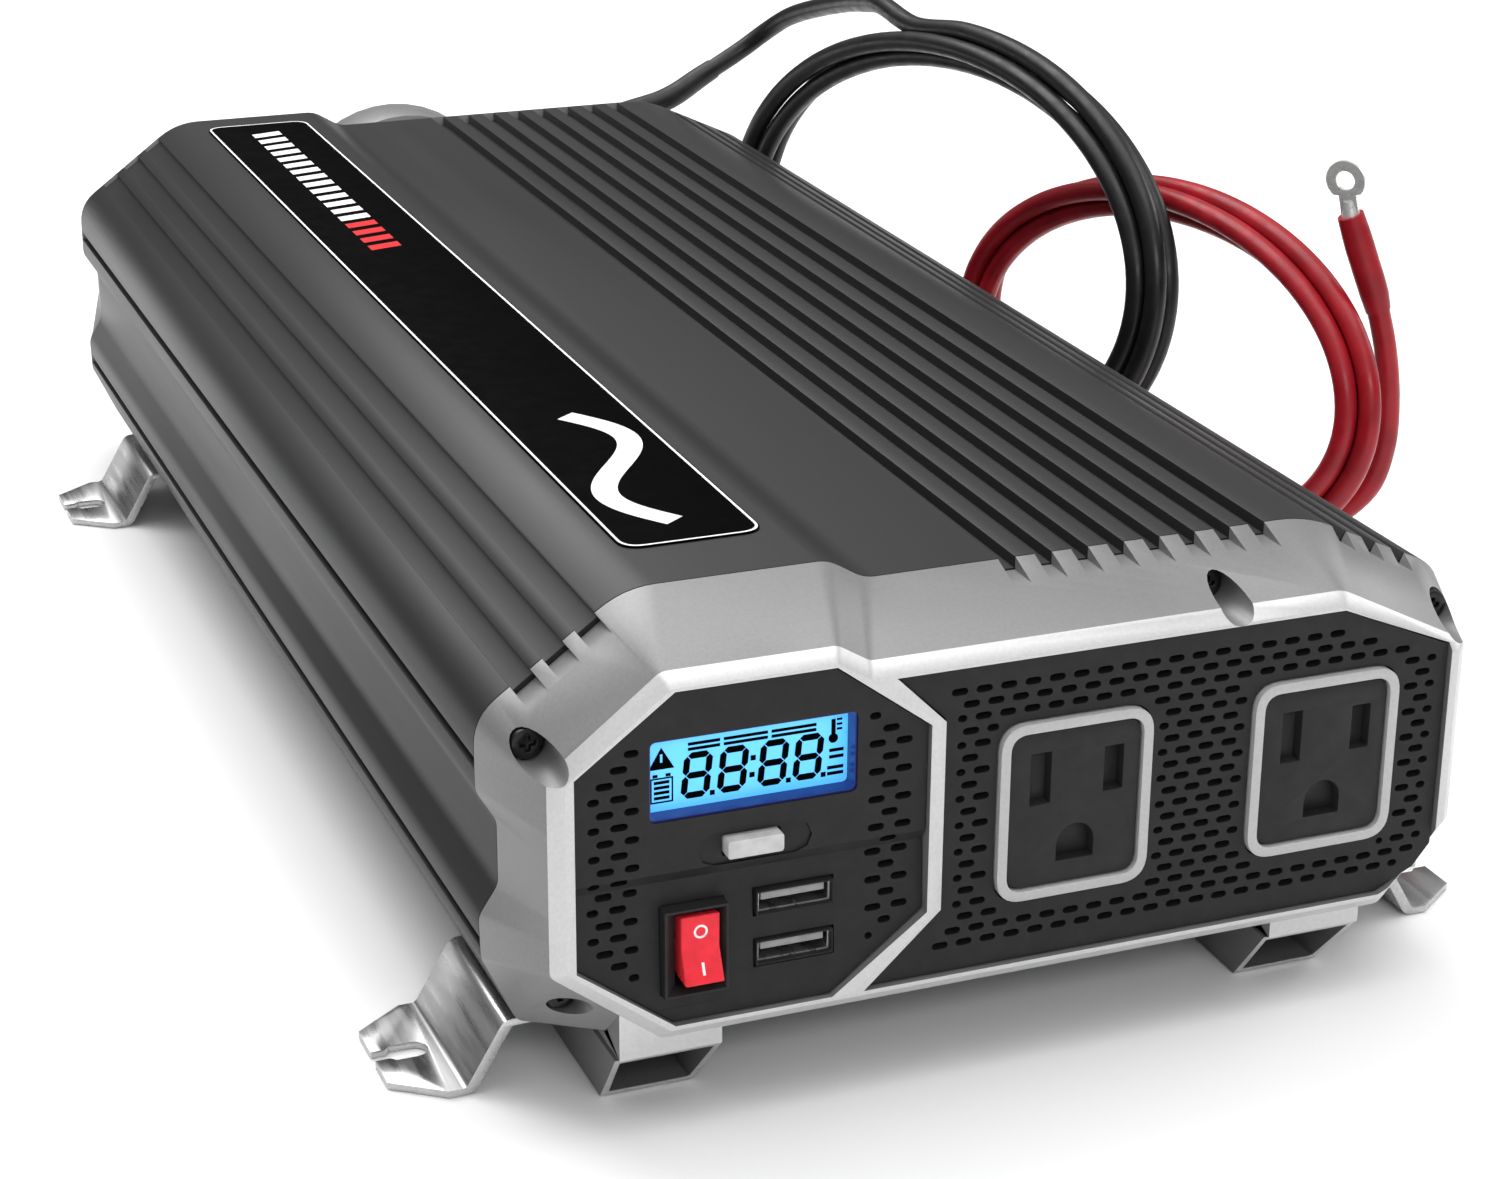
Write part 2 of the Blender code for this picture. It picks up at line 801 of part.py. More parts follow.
def bracket(name, side, middle_y, look):
    """A Z-bent sheet: a slotted plate on the floor, a slanted riser and a flange under the body."""
    outer = HALF_WIDTH + BRACKET_REACH
    bend = outer - BRACKET_PLATE
    top = BODY_BOTTOM - GAP
    shoulder = HALF_WIDTH - 5 * MM
    inner = shoulder - BRACKET_FLANGE
    sheet_t = BRACKET_SHEET
    lean = 0.7 * MM
    profile = [
        (outer, 0, 0),
        (outer, sheet_t, 0),
        (bend + lean, sheet_t, 1.2 * MM),
        (shoulder + lean, top, 2.4 * MM),
        (inner, top, 0),
        (inner, top - sheet_t, 0),
        (shoulder - lean, top - sheet_t, 1.2 * MM),
        (bend - lean, 0, 2.4 * MM),
    ]
    outline = [(side * x, z) for x, z in rounded_some(profile)]
    made = sheet(name, [outline], middle_y - BRACKET_LENGTH / 2, BRACKET_LENGTH, look)
    for end in (-1, 1):
        corner = [
            (side * (outer + 4.2 * MM), middle_y + end * (BRACKET_LENGTH / 2 - 9.3 * MM)),
            (side * (outer + 4.2 * MM), middle_y + end * (BRACKET_LENGTH / 2 + 3.1 * MM)),
            (side * (outer - 12.7 * MM), middle_y + end * (BRACKET_LENGTH / 2 + 3.1 * MM)),
        ]
        cut(made, sheet(f"{name}_corner_{end}", [corner], -2 * MM, 8 * MM, axis="Z"))
    cut(made, bracket_slot(name, side, outer, middle_y))
    x, y = bracket_screw_places()[[p[0] for p in bracket_places()].index(name)]
    cut(
        made,
        rod(
            name + "_hole", SCREW_SHANK_RADIUS + GAP, (x, y, top - 4 * MM), 6 * MM,
            axis="Z", sides=16,
        ),
    )
    return made


def rounded_some(profile):
    """Rounds only the corners that state a radius."""
    points = []
    smooth = rounded(profile, 3)
    for i, (x, z, radius) in enumerate(profile):
        points += smooth[4 * i : 4 * i + 4] if radius else [(x, z)]
    return points


def bracket_slot(name, side, outer, middle_y):
    """The open keyhole slot, from the plate's edge to its round inner end."""
    bulb = SLOT_BULB / 2
    throat = SLOT_THROAT / 2
    end_x = outer - SLOT_LENGTH + bulb
    arc = [
        (end_x - bulb * math.sin(angle), -bulb * math.cos(angle))
        for angle in [math.pi * i / 8 for i in range(9)]
    ]
    straight = outer - 3.4 * MM
    path = [(outer + 2 * MM, -throat), (straight + 1 * MM, -throat), (straight, -bulb)]
    path += arc
    path += [(straight, bulb), (straight + 1 * MM, throat), (outer + 2 * MM, throat)]
    points = [(side * x, middle_y + y) for x, y in path]
    return sheet(name + "_slot", [points], -1 * MM, BRACKET_SHEET + 3 * MM, axis="Z")


def bracket_screw(name, place_xy, look):
    """A screw from below: its head under the flange, its shank in the lower shell."""
    x, y = place_xy
    seat = BODY_BOTTOM - GAP - BRACKET_SHEET - GAP
    head = rod(name, 2.8 * MM, (x, y, seat - 1.8 * MM), 1.8 * MM, look, axis="Z", sides=20)
    join(head, rod(name + "_shank", SCREW_SHANK_RADIUS, (x, y, seat - 1 * MM), 8 * MM,
                   axis="Z", sides=12))
    for turned in (False, True):
        across, along = (2.8 * MM, 0.8 * MM) if turned else (0.8 * MM, 2.8 * MM)
        cut(
            head,
            box(
                f"{name}_cross_{turned}",
                (x - across / 2, y - along / 2, seat - 3 * MM),
                (x + across / 2, y + along / 2, seat - 1 * MM),
            ),
        )
    return head


# ---------------------------------------------------------------- front panel pieces


def display_places():
    """Lower-left corners and sizes of the display panel's openings."""
    x0 = DISPLAY_LEFT
    z0 = BODY_BOTTOM
    usb = [(x0 + USB[0], z0 + rise, USB[2], USB[3]) for rise in USB[1]]
    return {
        "window": (x0 + WINDOW[0], z0 + WINDOW[1], WINDOW[2], WINDOW[3]),
        "menu": (x0 + MENU[0], z0 + MENU[1], MENU[2], MENU[3]),
        "rocker": (x0 + ROCKER[0], z0 + ROCKER[1], ROCKER[2], ROCKER[3]),
        "usb": usb,
    }


def grown(place_size, margin):
    x, z, width, height = place_size
    return x - margin, z - margin, width + 2 * margin, height + 2 * margin


def display_panel(look):
    places = display_places()
    holes = [
        rounded_rectangle(*places["window"], 1.2 * MM),
        rounded_rectangle(*grown(places["menu"], GAP), 0.6 * MM),
        rectangle(*places["rocker"]),
    ]
    holes += [rectangle(*usb) for usb in places["usb"]]
    return sheet(
        "display_panel", [display_outline(GAP)] + holes, PANEL_Y, PANEL_THICKNESS, look
    )


def outlet_centres():
    return [(OUTLET_RIGHT - x, BODY_BOTTOM + OUTLET_Z) for x in OUTLET_FROM_RIGHT]


def outlet_frame(x, z, margin, steps=4):
    width = OUTLET_WIDTH - 2 * margin
    height = OUTLET_HEIGHT - 2 * margin
    return rounded_rectangle(
        x - width / 2, z - height / 2, width, height, max(OUTLET_CORNER - margin, 1 * MM), steps
    )


def outlet_panel(look):
    holes = [outlet_frame(x, z, 0) for x, z in outlet_centres()]
    return sheet("outlet_panel", [outlet_outline(GAP)] + holes, PANEL_Y, PANEL_THICKNESS, look)


def outlet_ring(name, x, z, look):
    """The bright trim ring round a socket face."""
    return sheet(
        name,
        [outlet_frame(x, z, GAP), outlet_frame(x, z, OUTLET_RING)],
        FRONT_Y, PANEL_SETBACK + PANEL_THICKNESS, look,
    )


def outlet_body(name, x, z, look):
    """The socket block: two blade slots and a D-shaped earth hole, open to the front."""
    face = FRONT_Y + 0.6 * MM
    block = sheet(name, [outlet_frame(x, z, OUTLET_RING + GAP)], face, OUTLET_DEPTH, look)
    slots = [
        (x - 7.9 * MM, z + 0.9 * MM, 3.6 * MM, 9 * MM),
        (x + 5.1 * MM, z + 1.5 * MM, 3.4 * MM, 7.7 * MM),
    ]
    for number, (left, low, width, height) in enumerate(slots):
        cut(
            block,
            box(
                f"{name}_blade_{number}",
                (left, face - 2 * MM, low),
                (left + width, face + SOCKET_DEPTH, low + height),
            ),
        )
    radius = 3.3 * MM
    flat = z - 9.6 * MM
    arch = [(x + 0.5 * MM - radius, flat), (x + 0.5 * MM + radius, flat)]
    for i in range(9):
        angle = math.pi * i / 8
        arch.append((x + 0.5 * MM + radius * math.cos(angle),
                     flat + 2.9 * MM + radius * math.sin(angle)))
    cut(block, sheet(f"{name}_earth", [arch], face - 2 * MM, SOCKET_DEPTH + 2 * MM))
    return block


def display_window(look):
    """The clear pane, in the display module's pocket behind the panel."""
    x, z, width, height = display_places()["window"]
    back = PANEL_Y + PANEL_THICKNESS + WINDOW_POCKET
    return sheet(
        "display_window",
        [rounded_rectangle(x - 0.5 * MM, z - 0.5 * MM, width + 1 * MM, height + 1 * MM, 1 * MM)],
        back - 1.2 * MM, 1.2 * MM, look,
    )


def display_module(look):
    """The display's case, whose front rim frames the pane."""
    x, z, width, height = display_places()["window"]
    start = PANEL_Y + PANEL_THICKNESS + GAP
    edge = 1.5 * MM
    chamfer = 3 * MM
    left, right = x - edge, x + width + edge
    low, high = z - edge, z + height + edge
    outline = [
        (left, low), (left, high - chamfer), (left + chamfer, high), (right - chamfer, high),
        (right, high - chamfer), (right, low),
    ]
    case = sheet("display_module", [outline], start, board_y() - GAP - start, look)
    cut(
        case,
        box(
            "pane_pocket",
            (x - 0.8 * MM, start - 1 * MM, z - 0.8 * MM),
            (x + width + 0.8 * MM, start + WINDOW_POCKET, z + height + 0.8 * MM),
        ),
    )
    return case


def board_y():
    """The front face of the control board, behind the display module and the switches."""
    return PANEL_Y + PANEL_THICKNESS + 7 * MM


def menu_button(look):
    """A keycap with a flange behind the panel, so that it can't fall out."""
    x, z, width, height = display_places()["menu"]
    cap = sheet(
        "menu_button",
        [rounded_rectangle(x, z, width, height, 0.5 * MM, 2)],
        FRONT_Y - MENU_PROUD, MENU_PROUD + PANEL_SETBACK + PANEL_THICKNESS + 1 * MM, look,
    )
    flange_start = PANEL_Y + PANEL_THICKNESS + GAP
    join(
        cap,
        box(
            "menu_flange",
            (x - 1 * MM, flange_start, z - 0.8 * MM),
            (x + width + 1 * MM, flange_start + 1 * MM, z + height + 0.8 * MM),
        ),
    )
    return cap


def menu_switch(look):
    """The tact switch on the control board, one travel behind the button."""
    x, z, width, height = display_places()["menu"]
    middle_x = x + width / 2
    middle_z = z + height / 2
    back = board_y() - GAP
    front = PANEL_Y + PANEL_THICKNESS + GAP + 1 * MM + MENU_TRAVEL + 0.2 * MM
    return box(
        "menu_switch",
        (middle_x - 3 * MM, front, middle_z - 3 * MM),
        (middle_x + 3 * MM, back, middle_z + 3 * MM),
        look,
    )


def rocker_pivot():
    x, z, width, height = display_places()["rocker"]
    reach = ROCKER_PIVOT_RADIUS * math.cos(ROCKER_ANGLE / 2) + ROCKER_HALF * math.sin(
        ROCKER_ANGLE
    )
    return x + width / 2 + 0.7 * MM, FRONT_Y - ROCKER_PROUD + reach, z + 7.4 * MM


def rocker_housing(look):
    """The switch body, open at the front round its paddle."""
    x, z, width, height = display_places()["rocker"]
    face = PANEL_Y + 1.2 * MM
    depth = 16 * MM
    housing = box(
        "rocker_housing",
        (x + GAP, face, z + GAP),
        (x + width - GAP, face + depth, z + height - GAP),
        look,
    )
    px, py, pz = rocker_pivot()
    reach = ROCKER_HALF + ROCKER_PIVOT_RADIUS * math.sin(ROCKER_ANGLE / 2) + 0.4 * MM
    cut(
        housing,
        box(
            "rocker_well",
            (px - ROCKER_WIDTH / 2 - GAP, face - 2 * MM, pz - reach),
            (px + ROCKER_WIDTH / 2 + GAP, face + 11 * MM, pz + reach),
        ),
    )
    return housing


def rocker_paddle(look):
    """The paddle at rest: its upper half pressed flush, its lower half raised."""
    px, py, pz = rocker_pivot()
    half = ROCKER_ANGLE / 2
    crest = Vector((-ROCKER_PIVOT_RADIUS * math.cos(half), ROCKER_PIVOT_RADIUS * math.sin(half)))
    top = crest + Vector((0, ROCKER_HALF))
    low = crest + ROCKER_HALF * Vector((-math.sin(ROCKER_ANGLE), -math.cos(ROCKER_ANGLE)))
    outline = [
        crest,
        top,
        top + Vector((3 * MM, -0.6 * MM)),
        Vector((4.5 * MM, 2.4 * MM)),
        Vector((4.5 * MM, -2.4 * MM)),
        low + Vector((4.6 * MM, 0.2 * MM)),
        low,
    ]
    points = [(py + p.x, pz + p.y) for p in outline]
    return sheet(
        "rocker_paddle", [points], px - ROCKER_WIDTH / 2, ROCKER_WIDTH, look, axis="X"
    )


def usb_port(number, place_size, shell_look, tongue_look):
    x, z, width, height = place_size
    shell_low = (x + GAP, z + GAP)
    shell_size = (width - 2 * GAP, height - 2 * GAP)
    wall = 0.4 * MM
    start = PANEL_Y + 0.4 * MM
    depth = board_y() + 4 * MM - start
    shell = sheet(
        f"usb_shell_{number}", [rectangle(*shell_low, *shell_size)], start, depth, shell_look
    )
    cut(
        shell,
        box(
            f"usb_mouth_{number}",
            (shell_low[0] + wall, start - 2 * MM, shell_low[1] + wall),
            (shell_low[0] + shell_size[0] - wall, start + depth - 1 * MM,
             shell_low[1] + shell_size[1] - wall),
        ),
    )
    tongue = box(
        f"usb_tongue_{number}",
        (x + 1.6 * MM, start + 1.2 * MM, z + height - 2.3 * MM),
        (x + width - 1.6 * MM, start + depth - 1.3 * MM, z + height - 1 * MM),
        tongue_look,
    )
    return shell, tongue


# ---------------------------------------------------------------- inside


def control_board(look):
    """The board behind the display panel, cut away round the rocker and the USB ports."""
    places = display_places()
    outline = display_outline(LEDGE + 1 * MM)
    board = sheet("control_board", [outline], board_y(), 1.6 * MM, look)
    x, z, width, height = places["rocker"]
    cut(
        board,
        box(
            "board_rocker_cut",
            (x - 1 * MM, board_y() - 1 * MM, z - 1 * MM),
            (x + width + 1 * MM, board_y() + 3 * MM, z + height + 1 * MM),
        ),
    )
    for number, usb in enumerate(places["usb"]):
        left, low, usb_width, usb_height = grown(usb, GAP)
        cut(
            board,
            box(
                f"board_usb_cut_{number}",
                (left, board_y() - 1 * MM, low),
                (left + usb_width, board_y() + 3 * MM, low + usb_height),
            ),
        )
    return board


def main_board(look):
    """The power board on four stand-off posts."""
    floor = BODY_BOTTOM + SHELL_WALL + GAP
    half = HALF_WIDTH - SHELL_WALL - 13 * MM
    start = BODY_FRONT + 22 * MM
    end = BODY_BACK - 24 * MM
    board = box(
        "main_board", (-half, start, floor + 6 * MM), (half, end, floor + 7.6 * MM), look
    )
    for x in (-half + 8 * MM, half - 8 * MM):
        for y in (start + 8 * MM, end - 8 * MM):
            join(
                board,
                rod(f"post_{x:.3f}_{y:.3f}", 3 * MM, (x, y, floor), 7 * MM, axis="Z", sides=8),
            )
    return board


def board_top():
    return BODY_BOTTOM + SHELL_WALL + GAP + 7.6 * MM + GAP


def heatsink(name, side, look):
    """A finned bar that carries the power transistors, beside the shell wall."""
    x = side * (HALF_WIDTH - SHELL_WALL - 20 * MM)
    start = BODY_FRONT + 90 * MM
    low = board_top()
    bar = box(
        name, (x - 2 * MM, start, low), (x + 2 * MM, BODY_BACK - 70 * MM, low + 32 * MM), look
    )
    for i in range(4):
        fin_z = low + 3 * MM + i * 8 * MM
        inner = x - side * 8 * MM
        join(
            bar,
            box(
                f"{name}_fin_{i}",
                (min(x, inner), start, fin_z),
                (max(x, inner), BODY_BACK - 70 * MM, fin_z + 2 * MM),
            ),
        )
    return bar


def transformer(look):
    """The high-frequency transformer: a core with its winding."""
    middle = BODY_FRONT + 120 * MM
    low = board_top()
    core = box(
        "transformer", (-22 * MM, middle - 24 * MM, low), (22 * MM, middle + 24 * MM, low + 36 * MM),
        look,
    )
    join(
        core,
        rod("winding", 20 * MM, (0, middle - 33 * MM, low + 21 * MM), 66 * MM, sides=24),
    )
    return core


def capacitor(look):
    low = board_top()
    can = rod("capacitor", 15 * MM, (0, BODY_BACK - 110 * MM, low), 42 * MM, look, axis="Z")
    return can


# ---------------------------------------------------------------- fan


def fan_centre():
    return FAN_X, BODY_BOTTOM + FAN_RISE


def fan_front():
    return BODY_BACK - FAN_DEPTH - 1 * MM


def fan_frame(look):
    """The fan's square frame, with its motor cup on four struts."""
    x, z = fan_centre()
    half = FAN_SIZE / 2
    frame = sheet(
        "fan_frame",
        [rounded_rectangle(x - half, z - half, FAN_SIZE, FAN_SIZE, 4 * MM),
         circle(x, z, FAN_BORE, 32)],
        fan_front(), FAN_DEPTH, look,
    )
    front = fan_front() + 0.3 * MM
    struts = [
        box("strut_across", (x - FAN_BORE - 0.5 * MM, front, z - 1 * MM),
            (x + FAN_BORE + 0.5 * MM, front + 1.6 * MM, z + 1 * MM)),
        box("strut_up", (x - 1.1 * MM, front + 0.1 * MM, z - FAN_BORE - 0.4 * MM),
            (x + 1.1 * MM, front + 1.8 * MM, z + FAN_BORE + 0.4 * MM)),
        rod("motor_cup", 9 * MM, (x, front + 0.2 * MM, z), 2.6 * MM, sides=20),
    ]
    join(frame, *struts)
    return frame


def fan_rotor(look):
    """The hub and its pitched blades, turning about the y axis."""
    x, z = fan_centre()
    start = fan_front() + 3.4 * MM
    depth = FAN_DEPTH - 4.4 * MM
    hub = rod("fan_rotor", 9.5 * MM, (x, start, z), depth, look, sides=24)
    for i in range(BLADES):
        blade = box(
            f"blade_{i}",
            (-0.6 * MM, -depth / 2 - 0.4 * MM, 8 * MM),
            (0.6 * MM, depth / 2 + 0.4 * MM, FAN_BORE - 1.2 * MM),
        )
        blade.matrix_world = (
            Matrix.Translation((x, start + depth / 2, z))
            @ Matrix.Rotation(2 * math.pi * i / BLADES, 4, "Y")
            @ Matrix.Rotation(math.radians(38), 4, "Z")
        )
        join(hub, blade)
    return hub


def fan_grille(look):
    """The finger guard in the mouth of the collar: rings joined by spokes."""
    x, z = fan_centre()
    outer = COLLAR_RADIUS - COLLAR_WALL - GAP
    outlines = [circle(x, z, outer, 40)]
    rings = 4
    spokes = 4
    first = 5 * MM
    pitch = (outer - 1.2 * MM - first) / rings
    for ring in range(rings):
        low = first + ring * pitch
        high = low + pitch - 1.2 * MM
        for spoke in range(spokes):
            start = 2 * math.pi * (spoke + 0.5) / spokes
            stop = start + 2 * math.pi / spokes
            points = []
            for radius, order in ((low, range(7)), (high, reversed(range(7)))):
                margin = 0.8 * MM / radius
                for i in order:
                    angle = start + margin + (stop - start - 2 * margin) * i / 6
                    points.append((x + radius * math.cos(angle), z + radius * math.sin(angle)))
            outlines.append(points)
    return sheet("fan_grille", outlines, REAR_Y + COLLAR_LENGTH - 3 * MM, 1.6 * MM, look)


# ---------------------------------------------------------------- cables

# Routes in millimetres. Each is one smooth line, which its pieces share out by length.
BLACK_ROUTE = [
    (45.5, 170.2, 59.5), (45.6, 178.5, 59.7), (49.5, 185.8, 62.5), (59.5, 190.8, 67.3),
    (76.5, 192.6, 71.1), (88.5, 196.2, 76.0), (100.0, 197.5, 81.8), (106.5, 194.0, 87.5),
    (109.5, 185.5, 92.6), (111.3, 170.5, 97.5), (111.6, 152.0, 102.2), (110.6, 138.0, 104.9),
    (109.5, 126.0, 106.6),
]
BLACK_BOOT_LENGTH = 64
RED_ROUTE = [
    (45.5, 170.2, 34.5), (45.6, 180.0, 34.3), (48.5, 189.0, 31.0), (54.0, 196.5, 23.0),
    (64.0, 198.5, 12.0), (76.0, 193.0, 4.4), (86.0, 181.0, 2.7), (94.0, 166.0, 2.7),
    (103.5, 150.0, 2.7), (113.0, 134.0, 2.7), (120.0, 117.0, 2.7), (124.0, 100.0, 2.7),
    (126.2, 84.0, 2.7), (127.6, 68.0, 2.8),
]
RED_BOOT_LENGTH = 17
RED_TAIL_ROUTE = [
    (137.4, 7.0, 8.0), (142.8, -12.0, 12.0), (150.2, -26.0, 18.2), (155.6, -34.6, 27.6),
    (156.7, -38.8, 38.8), (155.6, -40.6, 50.4), (153.5, -41.0, 61.9), (150.4, -40.5, 73.1),
    (146.9, -39.5, 82.9), (143.9, -38.5, 91.5),
]
RED_TAIL_LENGTH = 102
BLACK_SLEEVE_ROUTE = [(114.4, 70.0, 3.3), (112.9, 88.0, 3.3), (111.4, 106.0, 3.3)]
JOINT_GAP = 0.9

BLACK_COIL = {"centre": (107.3, 87.9, 55.6), "half": (94.6, 54.2), "turn": -82.5,
              "lean": 5.7, "tilt": 6.3, "band": 11.6, "thickness": 11}
RED_COIL = {"centre": (130.2, 17.2, 44.3), "half": (75.4, 42.8), "turn": -81.4,
            "lean": 4, "tilt": 6.3, "band": 10.4, "thickness": 10.4}
RING_HOLE_RADIUS = 2.1 * MM
RING_RADIUS = 4.3 * MM


def smooth_route(route):
    """Close points on a smooth curve through the route's own points, in millimetres."""
    points = [Vector(p) for p in route]
    ends = [points[0] * 2 - points[1]] + points + [points[-1] * 2 - points[-2]]
    fine = []
    for i in range(1, len(ends) - 2):
        a, b, c, d = ends[i - 1 : i + 3]
        for step in range(24):
            t = step / 24
            fine.append(
                0.5 * (2 * b + (c - a) * t + (2 * a - 5 * b + 4 * c - d) * t**2
                       + (3 * b - a - 3 * c + d) * t**3)
            )
    return fine + [points[-1]]


def portion(fine, start, end, spacing):
    """Evenly spaced points of a polyline between two lengths along it, in metres."""
    lengths = [0.0]
    for a, b in zip(fine, fine[1:]):
        lengths.append(lengths[-1] + (b - a).length)
    stop = lengths[-1] if end is None else end
    count = max(2, round((stop - start) / spacing))
    out = []
    j = 0
    for i in range(count + 1):
        target = start + (stop - start) * i / count
        while j < len(lengths) - 2 and lengths[j + 1] < target:
            j += 1
        t = (target - lengths[j]) / (lengths[j + 1] - lengths[j])
        out.append(fine[j].lerp(fine[j + 1], min(max(t, 0), 1)) * MM)
    return out


def cable(name, route, radius, look, start=0.0, end=None):
    """A round tube along a smooth route, between two lengths along it."""
    data = bpy.data.curves.new(name, "CURVE")
    data.dimensions = "3D"
    data.bevel_depth = radius
    data.bevel_resolution = 2
    data.use_fill_caps = True
    points = portion(smooth_route(route), start, end, 1.6 * 2 * CABLE_RADIUS / MM)
    spline = data.splines.new("POLY")
    spline.points.add(len(points) - 1)
    for point, at in zip(spline.points, points):
        point.co = (*at, 1)
    made = bpy.data.objects.new(name, data)
    made.data.materials.append(look)
    PARTS.objects.link(made)
    return made


def coil_matrix(coil):
    """From the coil's own plane (x along it, y up it) to the world."""
    centre = Vector(coil["centre"]) * MM
    return (
        Matrix.Translation(centre)
        @ Matrix.Rotation(math.radians(coil["turn"]), 4, "Z")
        @ Matrix.Rotation(-math.radians(coil["lean"]), 4, "X")
        @ Matrix.Rotation(math.pi / 2, 4, "X")
        @ Matrix.Rotation(math.radians(coil["tilt"]), 4, "Z")
    )


def coil_solid(name, coil, look):
    """The outer shape of a coil: an oval ring that stands on its edge."""
    sides = 40
    outlines = []
    for inward in (0, coil["band"]):
        a, b = [(half - inward) * MM for half in coil["half"]]
        outlines.append(
            [(a * math.cos(2 * math.pi * i / sides), b * math.sin(2 * math.pi * i / sides))
             for i in range(sides)]
        )
    thickness = coil["thickness"] * MM
    made = sheet(name, outlines, -thickness / 2, thickness, look, axis="Z")
    made.data.transform(coil_matrix(coil))
    return made


def ring_terminal(name, at, direction, normal, look):
    """A crimped ring tongue: a short barrel, a neck and a flat ring with its stud hole."""
    along = Vector(direction).normalized()
    up = Vector(normal).normalized()
    side = up.cross(along)
    thickness = 0.9 * MM
    neck = 7 * MM
    points = [(0, -1.9 * MM), (neck - 3.2 * MM, -1.9 * MM)]
    for i in range(17):
        angle = math.radians(-135 + 270 * i / 16)
        points.append((neck + RING_RADIUS * math.cos(angle), RING_RADIUS * math.sin(angle)))
    points += [(neck - 3.2 * MM, 1.9 * MM), (0, 1.9 * MM)]
    hole = circle(neck, 0, RING_HOLE_RADIUS, 16)
    made = sheet(name, [points, hole], -thickness / 2, thickness, look, axis="Z")
    matrix = Matrix((
        (along.x, side.x, up.x, 0), (along.y, side.y, up.y, 0), (along.z, side.z, up.z, 0),
        (0, 0, 0, 1),
    ))
    made.data.transform(Matrix.Translation(Vector(at) * MM) @ matrix)
    return made


# ---------------------------------------------------------------- label and assembly


def top_label(look):
    """The long label on the raised deck."""
    left = -HALF_WIDTH + 29.5 * MM
    width = 24.2 * MM
    start = BODY_FRONT + 15 * MM
    length = BODY_LENGTH - 24 * MM
    outline = rounded_rectangle(left, start, width, length, 4 * MM, 4)
    return sheet("top_label", [outline], BODY_TOP + 0.05 * MM, 0.3 * MM, look, axis="Z")


